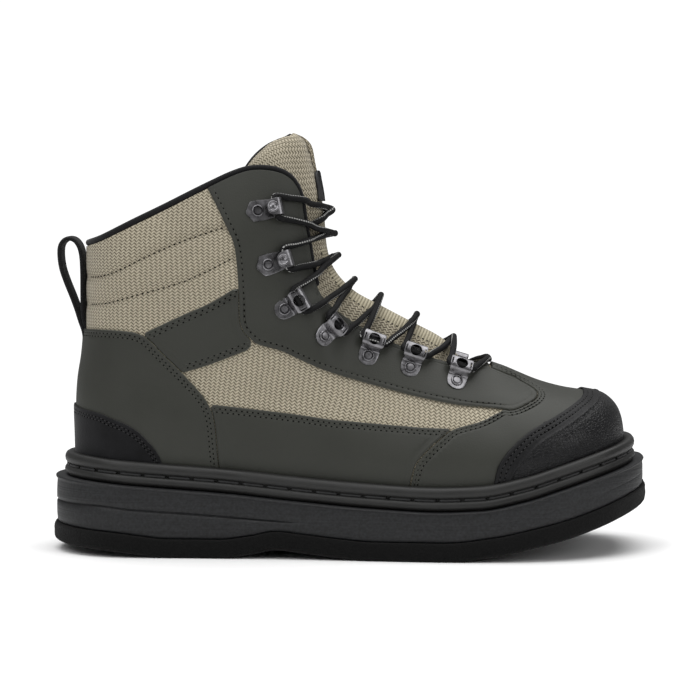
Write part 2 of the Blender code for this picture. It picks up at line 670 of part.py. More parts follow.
def tongue_grid(rows, across, outs, lift=0.0):
    """Two faces of a padded sheet that follows the front line, as rows of points.

    outs gives how deep the inner face lies, in the middle and at the edges. Out to TONGUE_FREE from
    the middle the sheet swells with the throat, and over TONGUE_TUCK beyond it goes under the edge."""
    line = np.array([(row[0] * UPPER_LENGTH, row[1] * COLLAR_HEIGHT) for row in rows])
    runs = np.gradient(line, axis=0)
    runs /= np.linalg.norm(runs, axis=1)[:, None]
    outer, inner = [], []
    for (x, z), run, (_, _, reach, drop, swell, rim) in zip(line, runs, rows):
        inward = np.array((-run[1], run[0] * (1 - smooth((z / COLLAR_HEIGHT - 0.73) / 0.12))))
        outer.append([])
        inner.append([])
        for t in across:
            depth = t * t * reach * SHAFT_WIDTH
            px, pz = np.array((x, z)) + inward * depth - (0, drop * t**6 * COLLAR_HEIGHT)
            side = -1 if t < 0 else 1
            width = abs(side_y(px, pz, side) - middle_y(px)) if depth else 0.0
            tucked = smooth((width - TONGUE_FREE) / TONGUE_TUCK)
            under = TONGUE_UNDER * (1 - swell * (1 - tucked)) + rim * TONGUE_MIDDLE - lift
            thick = outs[0] + (outs[1] - outs[0]) * t * t - 1.6 * rim * TONGUE_MIDDLE
            for face, deep in ((outer, under), (inner, under + thick)):
                if depth:
                    face[-1].append(surface(px, pz, side, -deep)[0])
                else:
                    ax, az = np.array((px, pz)) + inward * deep
                    face[-1].append(Vector((ax, middle_y(px), az)))
    return outer, inner


def sheet_solid(name, outer, inner, finish):
    """A closed solid between two grids of points."""
    bm = bmesh.new()
    faces_of = []
    for grid in (outer, inner):
        faces_of.append([[bm.verts.new(place(p)) for p in row] for row in grid])
    top, low = faces_of
    rows, columns = len(top), len(top[0])
    for i in range(rows - 1):
        for j in range(columns - 1):
            bm.faces.new((top[i][j], top[i][j + 1], top[i + 1][j + 1], top[i + 1][j]))
            bm.faces.new((low[i][j], low[i + 1][j], low[i + 1][j + 1], low[i][j + 1]))
    for i in range(rows - 1):
        bm.faces.new((top[i][0], top[i + 1][0], low[i + 1][0], low[i][0]))
        bm.faces.new((top[i][-1], low[i][-1], low[i + 1][-1], top[i + 1][-1]))
    for j in range(columns - 1):
        bm.faces.new((top[0][j], low[0][j], low[0][j + 1], top[0][j + 1]))
        bm.faces.new((top[-1][j], top[-1][j + 1], low[-1][j + 1], low[-1][j]))
    return new_object(name, mesh_from(bm, name), MATERIALS[finish])


def make_tongue():
    across = np.linspace(-1, 1, TONGUE_ACROSS + 1)
    outer, inner = tongue_grid(TONGUE_ROWS, across, (TONGUE_MIDDLE, TONGUE_EDGE))
    return sheet_solid("tongue", outer, inner, "mesh_cloth")


def make_label():
    """A bare woven label sewn to the tongue's front, near its top."""
    thick = (LABEL, LABEL)
    outer, inner = tongue_grid(LABEL_ROWS, np.linspace(-1, 1, 5), thick, lift=LABEL + 2 * CLEARANCE)
    return sheet_solid("tongue_label", outer, inner, "binding")


def tube(name, points, radius, finish, sides=LACE_SIDES):
    """A round cord along points, made a closed mesh."""
    line = bpy.data.curves.new(name, "CURVE")
    line.dimensions = "3D"
    line.bevel_depth = radius * MM
    line.bevel_resolution = max(0, (sides - 4) // 2)
    line.use_fill_caps = True
    spline = line.splines.new("POLY")
    spline.points.add(len(points) - 1)
    for target, point in zip(spline.points, points):
        target.co = (*place(point), 1)
    guide = bpy.data.objects.new(name + "_line", line)
    PARTS.objects.link(guide)
    bpy.context.view_layer.update()
    mesh = bpy.data.meshes.new_from_object(guide.evaluated_get(bpy.context.evaluated_depsgraph_get()))
    bpy.data.objects.remove(guide)
    bm = bmesh.new()
    bm.from_mesh(mesh)
    return new_object(name, mesh_from(bm, name, weld=0.01), MATERIALS[finish])


def make_binding():
    """Black tape rolled over the collar and down both sides of the throat."""
    rows = [row for row in side_sections() if row[-1][1] > BINDING_END * COLLAR_HEIGHT]
    lift = BINDING_RADIUS + CLEARANCE
    halves = {}
    for side in (-1, 1):
        rim = [surface(*row[-1], side) for row in rows]
        halves[side] = []
        for i in range(1, len(rows)):
            at, normal = rim[i]
            run = rim[min(i + 1, len(rows) - 1)][0] - rim[i - 1][0]
            outward = run.cross(normal).normalized() * side
            halves[side].append(at - normal * (BINDING_RADIUS + 0.2) + outward * lift)
    x, z = rows[0][-1]
    back = Vector((x + BINDING_RADIUS, 0, z + lift))
    line = [*halves[-1][::-1], back, *halves[1]]
    return tube("collar_binding", line, BINDING_RADIUS, "binding")


def make_pull_loop():
    """A webbing strap folded into a finger loop and sewn down at its foot."""
    half = LOOP_WIDTH / 2
    outside = prism("loop_outside", curve_through(in_sizes(LOOP_OUTSIDE), 1), -half, half)
    opening = prism("loop_opening", curve_through(in_sizes(LOOP_OPENING), 1), -LOOP_WIDTH, LOOP_WIDTH)
    mesh = combined(outside, [("DIFFERENCE", opening)])
    mesh.materials.clear()
    new_object("pull_loop", mesh, MATERIALS["binding"])


def block(bm, low, high):
    """A box between two corners, in millimetres."""
    low, high = Vector(low), Vector(high)
    made = bmesh.ops.create_cube(bm, size=1.0)["verts"]
    for vert in made:
        vert.co = Vector([low[k] + (high[k] - low[k]) * (vert.co[k] + 0.5) for k in range(3)]) * MM


def bare(name, bm):
    """A helper object for a Boolean."""
    obj = bpy.data.objects.new(name, mesh_from(bm, name))
    CUTTERS.objects.link(obj)
    obj.hide_render = True
    obj.display_type = "WIRE"
    return obj


def combined(start, steps):
    """Applies Booleans to a helper and gives the mesh that results."""
    for operation, other in steps:
        change = start.modifiers.new(operation, "BOOLEAN")
        change.operation = operation
        change.object = other
    return finished(start).data


def disc(name, radius, low, high, at=(0, 0), sides=8, top_radius=None):
    """A short upright cylinder or cone."""
    bm = bmesh.new()
    bmesh.ops.create_cone(bm, cap_ends=True, segments=sides, radius1=radius * MM,
                          radius2=(top_radius or radius) * MM, depth=(high - low) * MM)
    bmesh.ops.translate(bm, verts=bm.verts, vec=Vector((at[0], at[1], (low + high) / 2)) * MM)
    return bare(name, bm)


def plate_outline(name, points, low, high):
    """A flat sheet with the given outline."""
    bm = bmesh.new()
    face = bm.faces.new([bm.verts.new(Vector((x, y, low)) * MM) for x, y in points])
    moved = bmesh.ops.extrude_face_region(bm, geom=[face])["geom"]
    bmesh.ops.translate(bm, verts=[v for v in moved if isinstance(v, bmesh.types.BMVert)],
                        vec=Vector((0, 0, high - low)) * MM)
    return bare(name, bm)


def rivet(name):
    """The domed head that fixes a plate."""
    return disc(name, RIVET_RADIUS, PLATE / 2, PLATE + RIVET_HEIGHT, top_radius=0.7 * RIVET_RADIUS)


def lace_height():
    """Height of the lace's middle over the foot of an eyelet or hook."""
    return PLATE + TUNNEL_GAP / 2


def eyelet_mesh():
    """A stamped plate with a riveted round end and a closed tunnel for the lace."""
    near = EYELET_REACH - TUNNEL_LENGTH / 2
    far = EYELET_REACH + TUNNEL_LENGTH / 2
    half = TUNNEL_WIDTH / 2
    turns = np.linspace(math.radians(115), math.radians(245), 6)
    outline = [(EYELET_END_RADIUS * math.cos(a), EYELET_END_RADIUS * math.sin(a)) for a in turns]
    outline += [(near, -half), (far, -half + 1.2), (far, half - 1.2), (near, half)]
    over_gap = PLATE + TUNNEL_GAP
    top = over_gap + PLATE
    at_lace = (EYELET_REACH, 0)
    box = bmesh.new()
    block(box, (near, -half, PLATE * 0.5), (far, half, top))
    gap = bmesh.new()
    block(gap, (near + PLATE, -2 * half, PLATE), (far - PLATE, 2 * half, over_gap))
    return combined(plate_outline("eyelet_plate", outline, 0, PLATE), (
        ("UNION", bare("eyelet_box", box)),
        ("DIFFERENCE", bare("eyelet_gap", gap)),
        ("DIFFERENCE", disc("eyelet_hole", TUNNEL_HOLE_RADIUS, over_gap - PLATE, top + PLATE, at_lace)),
        ("UNION", rivet("eyelet_rivet")),
    ))


def hook_mesh():
    """A stamped plate with a riveted end, bent over at the throat into an open hook."""
    far = EYELET_REACH + TUNNEL_LENGTH / 2
    half = HOOK_WIDTH / 2
    end = EYELET_END_RADIUS
    outline = [(-end * 1.1, 0), (-end * 0.55, -end), (end * 0.5, -end), (far, -half), (far, half),
               (end * 0.5, end), (-end * 0.55, end)]
    under_lip = PLATE + TUNNEL_GAP
    top = under_lip + PLATE
    bend = bmesh.new()
    block(bend, (far - PLATE, -half, PLATE * 0.5), (far, half, top))
    lip = bmesh.new()
    block(lip, (EYELET_REACH, -half + 0.2, under_lip), (far - PLATE / 2, half - 0.2, top))
    return combined(plate_outline("hook_plate", outline, 0, PLATE), (
        ("UNION", bare("hook_bend", bend)),
        ("UNION", bare("hook_lip", lip)),
        ("UNION", disc("hook_disc", HOOK_DISC_RADIUS, under_lip + 0.1, top + 0.1, (EYELET_REACH, 0))),
        ("UNION", rivet("hook_rivet")),
    ))


def stop_frame(stop, side):
    """Where a hook or eyelet sits: its foot, and its directions to the throat, up the lacing and out."""
    _, x, z, lace_x, lace_z = stop
    x, lace_x = x * UPPER_LENGTH, lace_x * UPPER_LENGTH
    z, lace_z = z * COLLAR_HEIGHT, lace_z * COLLAR_HEIGHT
    foot, normal = surface(x, z, side)
    lace, lace_normal = surface(lace_x, lace_z, side)
    reach = (lace - foot).normalized()
    out = (normal + lace_normal).normalized()
    out = (out - reach * out.dot(reach)).normalized()
    up = out.cross(reach) if side < 0 else reach.cross(out)
    highest = 0.0
    for a in (-EYELET_END_RADIUS, 0, EYELET_REACH, EYELET_REACH + TUNNEL_LENGTH / 2):
        for b in (-TUNNEL_WIDTH / 2, 0, TUNNEL_WIDTH / 2):
            under = foot + reach * a + up * b
            if under.x < front_x(under.z) - 1:
                at = surface(under.x, under.z, side)[0]
                highest = max(highest, (at - under).dot(out))
    seat = highest + 4 * CLEARANCE + LEATHER
    return foot + out * seat, reach, up, out


def make_lace_stops():
    meshes = {"hook": hook_mesh(), "eyelet": eyelet_mesh()}
    for mesh in meshes.values():
        mesh.materials.clear()
        mesh.materials.append(MATERIALS["metal"])
    for side, word in ((-1, "lateral"), (1, "medial")):
        for number, stop in enumerate(LACE_STOPS, 1):
            foot, reach, up, out = stop_frame(stop, side)
            obj = bpy.data.objects.new(f"{stop[0]}_{word}_{number}", meshes[stop[0]])
            PARTS.objects.link(obj)
            turn = Matrix((reach, out.cross(reach), out)).transposed().to_4x4()
            obj.matrix_world = Matrix.Translation(place(foot)) @ turn


def lace_exit(stop, side, upwards):
    """Where the lace leaves a stop, a clearance past its side, and the way it leaves."""
    foot, reach, up, out = stop_frame(stop, side)
    middle = foot + reach * EYELET_REACH + out * lace_height()
    away = up if upwards else -up
    return middle + away * (TUNNEL_WIDTH / 2 + 2 * CLEARANCE), away


def off_surface(point, lift):
    """Moves a point of a strand out, in the boot's middle plane, until it clears the upper's form."""
    point = Vector(point)
    steep = smooth((point.z / COLLAR_HEIGHT - 0.62) / 0.14)
    forward = Vector((0.5, 0, 0.87)).lerp(Vector((1, 0, 0.1)), steep).normalized()
    side = -1 if point.y < 0 else 1
    for _ in range(80):
        share = min(abs(point.y - middle_y(point.x)) / (SHAFT_WIDTH * 0.55), 1)
        normal = forward * math.sqrt(1 - share**2) + Vector((0, side * share, 0))
        foot = point - normal * lift
        outside = foot.x > front_x(foot.z) or foot.z > front_z(foot.x)
        if outside or abs(foot.y) > abs(side_y(foot.x, foot.z, side)):
            break
        point += forward * 0.4
    return point


def strand(start, away, apex, lift, last, last_away):
    """Points of one lace strand from a stop over the crossing to where it ends."""
    rise = Vector((0.7, 0, 0.7)) * lift
    through = [start, start + away * STRAND_LEAD]
    for t in (0.25, 0.6):
        through.append(off_surface(through[1].lerp(apex, t), STRAND_OVER))
    through.append(apex + rise)
    for t in (0.6, 0.25):
        through.append(off_surface((last + last_away * STRAND_LEAD).lerp(apex, t), STRAND_OVER))
    through += [last + last_away * STRAND_LEAD, last]
    return through


def joined_strands(name, first, second):
    """Two strands of the lace made one solid where they cross."""
    one = tube(name, first, LACE_RADIUS, "lace")
    two = tube(name + "_other", second, LACE_RADIUS, "lace")
    join = one.modifiers.new("crossing", "BOOLEAN")
    join.operation = "UNION"
    join.object = two
    finished(one)
    bpy.data.objects.remove(two)
    bm = bmesh.new()
    bm.from_mesh(one.data)
    bmesh.ops.dissolve_degenerate(bm, edges=bm.edges, dist=0.02 * MM)
    bm.to_mesh(one.data)
    bm.free()
    return one


def crossing_point(shares):
    x, z = shares[0] * UPPER_LENGTH, shares[1] * COLLAR_HEIGHT
    return Vector((x, middle_y(x), z))


def make_laces():
    """The crossings from each pair of stops to the next, the bar at the bottom and the tucked top."""
    for number, crossing in enumerate(LACE_CROSSINGS, 1):
        lines = []
        for side in (-1, 1):
            lift = STRAND_LIFT / 2 * side * (-1) ** number
            start, away = lace_exit(LACE_STOPS[number - 1], side, False)
            last, last_away = lace_exit(LACE_STOPS[number], -side, True)
            lines.append(strand(start, away, crossing_point(crossing), lift, last, last_away))
        joined_strands(f"lace_cross_{number}", *lines)
    start, away = lace_exit(LACE_STOPS[-1], -1, False)
    last, last_away = lace_exit(LACE_STOPS[-1], 1, False)
    bar = strand(start, away, crossing_point(LACE_BOTTOM_BAR), 0.0, last, last_away)
    tube("lace_bar", bar, LACE_RADIUS, "lace")
    lines = []
    for side in (-1, 1):
        start, away = lace_exit(LACE_STOPS[0], side, True)
        apex = crossing_point(LACE_TOP_CROSSING)
        tuck = crossing_point(LACE_TOP_TUCK)
        tuck.y = -side * LACE_TUCK_WIDTH
        tuck = off_surface(tuck, LACE_RADIUS + CLEARANCE)
        towards = (apex - tuck).normalized()
        lines.append(strand(start, away, apex, STRAND_LIFT / 2 * side, tuck, towards))
    joined_strands("lace_cross_top", *lines)


def part_of(line, inside):
    """The stretch of a line where inside(point) is above zero, ended on its crossings."""
    kept = []
    for a, b in zip(line[:-1], line[1:]):
        at_a, at_b = inside(a), inside(b)
        if at_a > 0:
            kept.append(a)
        if at_a * at_b < 0:
            t = at_a / (at_a - at_b)
            kept.append((a[0] + (b[0] - a[0]) * t, a[1] + (b[1] - a[1]) * t))
    if inside(line[-1]) > 0:
        kept.append(line[-1])
    return kept


def ahead_of(line, point):
    """How far a point lies ahead of a falling side-view line."""
    line = np.array(line)
    return point[0] - float(np.interp(-point[1], -line[:, 1], line[:, 0]))


def between_heights(line, low, high):
    return part_of(part_of(line, lambda p: p[1] - low), lambda p: high - p[1])


def between_lines(line, rear, fore):
    return part_of(part_of(line, partial(ahead_of, rear)), lambda p: -ahead_of(fore, p))


def make_overlays():
    """The leather pieces over the cloth, and the two caps over the leather."""
    rim = 1.2 * COLLAR_HEIGHT
    far = UPPER_LENGTH
    gap = CLEARANCE
    lift = 3 * CLEARANCE

    def over_welt(line):
        return part_of(line, lambda p: p[1] - feather_z(p[0]) - lift)

    heel_panel, vamp = over_welt(edge(HEEL_PANEL_EDGE)), over_welt(edge(VAMP_EDGE))
    outline = [*heel_panel, *bottom_clip(heel_panel[-1][0], -0.6 * UPPER_LENGTH, lift)]
    overlay("heel_panel", outline, 0, -far, far, "leather")
    cap = over_welt(edge(HEEL_CAP_EDGE))
    outline = [*cap, *bottom_clip(cap[-1][0], -0.6 * UPPER_LENGTH, lift)]
    overlay("heel_cap", outline, 1, -far, far, "cap_leather")
    cap = over_welt(edge(TOE_CAP_EDGE))
    outline = [*cap, *bottom_clip(cap[-1][0], 0.6 * UPPER_LENGTH, lift), (0.6 * UPPER_LENGTH, cap[0][1])]
    overlay("toe_cap", outline, 1, -far, far, "cap_leather")
    tip = edge(EYESTAY_TIP)
    under_cap = over_welt(moved_aside(edge(TOE_CAP_EDGE), CAP_OVERLAP))
    outline = [*moved_aside(tip, -gap)[::-1], *moved_aside(vamp, gap)[1:],
               *bottom_clip(vamp[-1][0] + 2 * gap, under_cap[-1][0], lift), *under_cap[:-1][::-1],
               (under_cap[0][0], 0.6 * COLLAR_HEIGHT), (tip[-1][0] + gap, 0.6 * COLLAR_HEIGHT)]
    overlay("vamp", outline, 0, -far, far, "leather")
    back = edge(EYESTAY_BACK)
    eyestay = [*back, *edge(EYESTAY_LOW)[1:], *tip[1:], (0.25 * UPPER_LENGTH, 0.6 * COLLAR_HEIGHT),
               (0.1 * UPPER_LENGTH, rim), (back[0][0], rim)]
    beside_back = moved_aside(back, -gap)
    ahead_of_panel = [p for p in moved_aside(heel_panel, gap) if p[0] > -0.41 * UPPER_LENGTH]
    behind_vamp = moved_aside(vamp, -gap)
    band_top = between_lines(edge(BAND_TOP), ahead_of_panel, beside_back)
    band_low = between_lines(edge(BAND_BOTTOM), ahead_of_panel, beside_back)
    guard_top = between_lines(edge(MUDGUARD_TOP), ahead_of_panel, behind_vamp)
    band = [*band_top, *between_heights(beside_back, band_low[-1][1], band_top[-1][1])[1:-1],
            *band_low[::-1], *between_heights(ahead_of_panel, band_low[0][1], band_top[0][1])[::-1][1:-1]]
    guard_rear = between_heights(ahead_of_panel, 0, guard_top[0][1])
    guard_fore = between_heights(behind_vamp, 0, guard_top[-1][1])
    guard = [*guard_top, *guard_fore[1:], *bottom_clip(guard_fore[-1][0], guard_rear[-1][0], lift)[1:-1],
             *guard_rear[:0:-1]]
    middle = middle_y(THROAT_BASE_X)
    for word, low_y, high_y in (("lateral", -far, middle - gap), ("medial", middle + gap, far)):
        overlay(f"eyestay_{word}", eyestay, 0, low_y, high_y, "leather")
        overlay(f"band_{word}", band, 0, low_y, high_y, "leather")
        overlay(f"mudguard_{word}", guard, 0, low_y, high_y, "leather")


for old in list(bpy.data.objects):
    bpy.data.objects.remove(old)
PARTS = bpy.data.collections.new("wading_boot")
CUTTERS = bpy.data.collections.new("cutters")
for collection in (PARTS, CUTTERS):
    bpy.context.scene.collection.children.link(collection)

MATERIALS = {
    "mesh_cloth": material("mesh_cloth", (0.42, 0.37, 0.27), 0.9),
    "leather": material("leather", (0.055, 0.056, 0.046), 0.6),
    "cap_leather": material("cap_leather", (0.012, 0.012, 0.013), 0.55),
    "rubber": material("rubber", (0.016, 0.016, 0.018), 0.6),
    "felt": material("felt", (0.006, 0.006, 0.006), 1.0),
    "lining": material("lining", (0.010, 0.010, 0.011), 0.95),
    "binding": material("binding", (0.010, 0.010, 0.011), 0.8),
    "lace": material("lace", (0.012, 0.012, 0.012), 0.8),
    "metal": material("metal", (0.35, 0.34, 0.34), 0.3, 1.0),
}

# Moves the sole's middle to the origin
SHIFT = Vector((0, 0, 0))
SOLE_OUTLINE = np.array([(x, y) for x, y, _ in plan_ring(0, FELT_OUT)])
SHIFT = Vector((*(-(SOLE_OUTLINE.min(axis=0) + SOLE_OUTLINE.max(axis=0)) / 2), 0))

make_felt()
make_midsole()
make_welt()
make_insole()
make_upper()
make_overlays()
make_binding()
make_tongue()
make_label()
make_pull_loop()
make_lace_stops()
make_laces()
for part in PARTS.objects:
    part.data.shade_smooth()
    part.data.set_sharp_from_angle(angle=math.radians(35))
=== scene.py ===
"""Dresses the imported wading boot: upper, overlays, lacing and sole as fine meshes with procedural finishes.

The boot points along +X with its outer side at -Y. Sizes are in millimetres in the boot's own place,
and store() moves each finished piece to the frame's metres.
"""

import math

import bmesh
import bpy
import numpy as np
from mathutils import Matrix, Vector, noise
from mathutils.bvhtree import BVHTree


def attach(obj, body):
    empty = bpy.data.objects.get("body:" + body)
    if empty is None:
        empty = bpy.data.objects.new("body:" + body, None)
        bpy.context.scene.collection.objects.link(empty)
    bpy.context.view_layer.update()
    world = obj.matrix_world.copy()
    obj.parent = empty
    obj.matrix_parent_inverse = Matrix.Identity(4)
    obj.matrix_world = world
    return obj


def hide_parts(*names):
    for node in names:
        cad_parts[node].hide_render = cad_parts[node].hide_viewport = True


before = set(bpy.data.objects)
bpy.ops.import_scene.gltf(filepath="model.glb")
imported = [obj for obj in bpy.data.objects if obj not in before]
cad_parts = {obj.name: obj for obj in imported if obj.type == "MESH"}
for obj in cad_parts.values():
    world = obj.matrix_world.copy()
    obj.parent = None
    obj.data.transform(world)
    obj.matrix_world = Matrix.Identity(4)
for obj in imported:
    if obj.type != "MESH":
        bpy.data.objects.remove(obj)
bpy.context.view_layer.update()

# Upper of mesh cloth.
# Coarse polyester mesh, knitted in zigzag rows, over thin foam and a black lining: one wall 3 to 7 mm thick.
# The closed upper is pulled over a foot-shaped last, which gives it one smooth form. side_y() is that form.
UPPER_LENGTH = 291.0
COLLAR_HEIGHT = 205.0
BALL_WIDTH = 101.0
SHAFT_WIDTH = 80.0
ANKLE_HEIGHT = 118.0
HEEL_STACK = 39.0
WELT_HEIGHT = 12.8
TO_FRAME = Matrix.Scale(0.001, 4) @ Matrix.Translation((0.2251, -0.0137, 0.0))

FRONT_LINE = (
    (-0.090, 1.140), (-0.067, 1.034), (-0.056, 0.951), (-0.048, 0.868), (-0.043, 0.790),
    (-0.029, 0.732), (0.006, 0.678), (0.054, 0.640), (0.110, 0.598), (0.172, 0.553),
    (0.216, 0.517), (0.252, 0.4867), (0.292, 0.466), (0.344, 0.434), (0.392, 0.414), (0.436, 0.403),
    (0.465, 0.393), (0.484, 0.372), (0.494, 0.343), (0.499, 0.300), (0.501, 0.262), (0.501, 0.190),
)
BACK_LINE = (
    (-0.486, 1.140), (-0.487, 0.732), (-0.489, 0.585), (-0.493, 0.512), (-0.500, 0.449),
    (-0.503, 0.380), (-0.502, 0.302), (-0.501, 0.220), (-0.500, 0.110),
)
THROAT_LINE = (
    (-0.090, 0.900), (-0.085, 0.854), (-0.078, 0.800), (-0.071, 0.740), (-0.061, 0.684),
    (-0.038, 0.641), (0.012, 0.590), (0.092, 0.534), (0.165, 0.496), (0.213, 0.481),
    (0.240, 0.479), (0.252, 0.4867),
)
COLLAR_LINE = (
    (-0.090, 0.900), (-0.097, 0.938), (-0.112, 0.969), (-0.135, 0.985), (-0.170, 0.990),
    (-0.205, 0.979), (-0.268, 0.937), (-0.330, 0.892), (-0.395, 0.847), (-0.450, 0.810),
    (-0.487, 0.793),
)
BASE_WIDTHS = (
    (-0.50, 0.330, 0.330), (-0.38, 0.334, 0.332), (-0.28, 0.347, 0.336), (-0.16, 0.371, 0.330),
    (-0.03, 0.416, 0.350), (0.09, 0.465, 0.412), (0.19, 0.495, 0.474), (0.27, 0.500, 0.500),
    (0.36, 0.488, 0.500), (0.50, 0.450, 0.462),
)
SHAFT_WIDTHS = (
    (0.20, 0.425), (0.40, 0.432), (0.58, 0.445), (0.72, 0.475), (0.86, 0.497), (1.00, 0.495),
    (1.15, 0.480),
)
MIDDLE_LINE = ((-0.50, 0.0), (0.00, 0.0), (0.20, 0.018), (0.35, 0.050), (0.50, 0.085))
TOP_ROUNDING = (
    (-0.10, 0.440, 1.75), (0.08, 0.385, 1.75), (0.17, 0.310, 1.80), (0.26, 0.250, 1.95),
    (0.34, 0.185, 2.15), (0.42, 0.140, 2.30), (0.52, 0.120, 2.30),
)
MIDSOLE_TOP = (
    (-0.56, 1.040), (-0.46, 1.000), (-0.35, 0.935), (-0.23, 0.870), (-0.11, 0.780), (0.03, 0.695),
    (0.15, 0.655), (0.23, 0.675), (0.31, 0.790), (0.38, 0.945), (0.45, 1.095), (0.52, 1.225),
    (0.56, 1.290),
)
SECTIONS = (
    (0.000, 0.000), (0.014, 0.006), (0.055, 0.022), (0.120, 0.048), (0.215, 0.086), (0.340, 0.138),
    (0.490, 0.200), (0.655, 0.262), (0.800, 0.318), (0.910, 0.362), (1.000, 0.400), (1.100, 0.440),
    (1.250, 0.495), (1.440, 0.550), (1.640, 0.610), (1.820, 0.665), (1.940, 0.715), (2.000, 0.760),
    (2.220, 0.820), (2.410, 0.872), (2.570, 0.917), (2.720, 0.952), (2.850, 0.978), (2.950, 0.994),
    (3.000, 1.000),
)


def curve_through(points, per_span=8):
    """A smooth line through the points, as an array."""
    rows = np.array(points, float)
    ends = np.vstack([2 * rows[0] - rows[1], rows, 2 * rows[-1] - rows[-2]])
    a, b, c, d = (ends[k:len(ends) - 3 + k][:, None] for k in range(4))
    t = (np.arange(per_span) / per_span)[None, :, None]
    line = 0.5 * (2 * b + (c - a) * t + (2 * a - 5 * b + 4 * c - d) * t**2 + (3 * b - a - 3 * c + d) * t**3)
    return np.vstack([line.reshape(-1, rows.shape[1]), rows[-1:]])


def in_sizes(shares):
    return np.array(shares, float) * (UPPER_LENGTH, COLLAR_HEIGHT)


def read(table, x, column=1):
    """Values of a table's column at x, on a line that keeps flat stretches flat."""
    rows = np.array(table, float)
    xs, ys = rows[:, 0], rows[:, column]
    slope = np.diff(ys) / np.diff(xs)
    tangent = np.zeros(len(xs))
    product, total = slope[1:] * slope[:-1], slope[1:] + slope[:-1]
    tangent[1:-1] = np.where(product > 0, 2 * product / np.where(product > 0, total, 1), 0)
    tangent[0], tangent[-1] = slope[0], slope[-1]
    x = np.clip(x, xs[0], xs[-1])
    i = np.clip(np.searchsorted(xs, x, "right") - 1, 0, len(xs) - 2)
    width = xs[i + 1] - xs[i]
    t = (x - xs[i]) / width
    return ((1 + 2 * t) * (1 - t) ** 2 * ys[i] + t * (1 - t) ** 2 * width * tangent[i]
            + t * t * (3 - 2 * t) * ys[i + 1] + t * t * (t - 1) * width * tangent[i + 1])


def smooth(t):
    t = np.clip(t, 0.0, 1.0)
    return t * t * (3 - 2 * t)


FRONT = curve_through(in_sizes(FRONT_LINE))
BACK = curve_through(in_sizes(BACK_LINE))
THROAT = curve_through(in_sizes(THROAT_LINE))
COLLAR = curve_through(in_sizes(COLLAR_LINE))
THROAT_BASE_X = THROAT[-1, 0]


def front_x(z):
    return np.interp(-np.asarray(z), -FRONT[:, 1], FRONT[:, 0])


def front_z(x):
    return np.interp(x, FRONT[:, 0], FRONT[:, 1])


def back_x(z):
    return np.interp(-np.asarray(z), -BACK[:, 1], BACK[:, 0])


def crown_z(x):
    """front_z() with its corner at the instep rounded off, where the sides only round towards it."""
    spread = 10.0 * smooth((45 - np.asarray(x)) / 30)
    return sum(front_z(x + spread * k) for k in (-1, -0.75, -0.5, -0.25, 0, 0.25, 0.5, 0.75, 1)) / 9


def midsole_top(x):
    return HEEL_STACK * read(MIDSOLE_TOP, np.asarray(x) / UPPER_LENGTH)


def feather_z(x):
    """Height of the welt's top, where the upper comes out of the sole."""
    return midsole_top(x) + WELT_HEIGHT


def middle_y(x):
    return BALL_WIDTH * read(MIDDLE_LINE, np.asarray(x) / UPPER_LENGTH)


def rounding(distance, radius, fullness=2.0):
    """0 on an edge, rising steeply to 1 at the radius, as a round end does."""
    t = np.clip(distance / radius, 0.0, 1.0)
    return np.maximum((1 - (1 - t) ** fullness) ** (1 / fullness), 1e-4)


def side_y(x, z, side):
    """Y of the upper's face at (x, z), on the outer side (-1) or the inner side (1)."""
    share = x / UPPER_LENGTH
    base = BALL_WIDTH * np.where(side < 0, read(BASE_WIDTHS, share, 1), read(BASE_WIDTHS, share, 2))
    shaft = SHAFT_WIDTH * read(SHAFT_WIDTHS, z / COLLAR_HEIGHT)
    bottom = feather_z(x)
    width = base + (shaft - base) * smooth((z - bottom) / (ANKLE_HEIGHT - bottom))
    width = width + 2.0 * np.sin(math.pi * np.clip((z - bottom) / 40.0, 0, 1))
    toe_radius = BALL_WIDTH * np.where(side < 0, 0.66, 0.52)
    up = smooth((z / COLLAR_HEIGHT - 0.42) / 0.24)
    front_radius = toe_radius + (SHAFT_WIDTH * 0.62 - toe_radius) * up
    crown = crown_z(x)
    height = np.maximum(crown - bottom, 1.0)
    top_radius = np.minimum(COLLAR_HEIGHT * read(TOP_ROUNDING, share), 0.92 * height)
    full = (rounding(x - back_x(z), BALL_WIDTH * 0.32) ** -2
            + rounding(front_x(z) - x, front_radius, 2.6 - 0.6 * up) ** -2
            + rounding(crown - z, top_radius, read(TOP_ROUNDING, share, 2)) ** -2 - 2) ** -0.5
    return middle_y(x) * (1 - full) + side * width * full


def along(line, shares):
    """Points at shares of a line's length."""
    lengths = np.concatenate([[0], np.cumsum(np.linalg.norm(np.diff(line, axis=0), axis=1))])
    at = np.asarray(shares) * lengths[-1]
    return np.stack([np.interp(at, lengths, line[:, k]) for k in range(line.shape[1])], axis=-1)


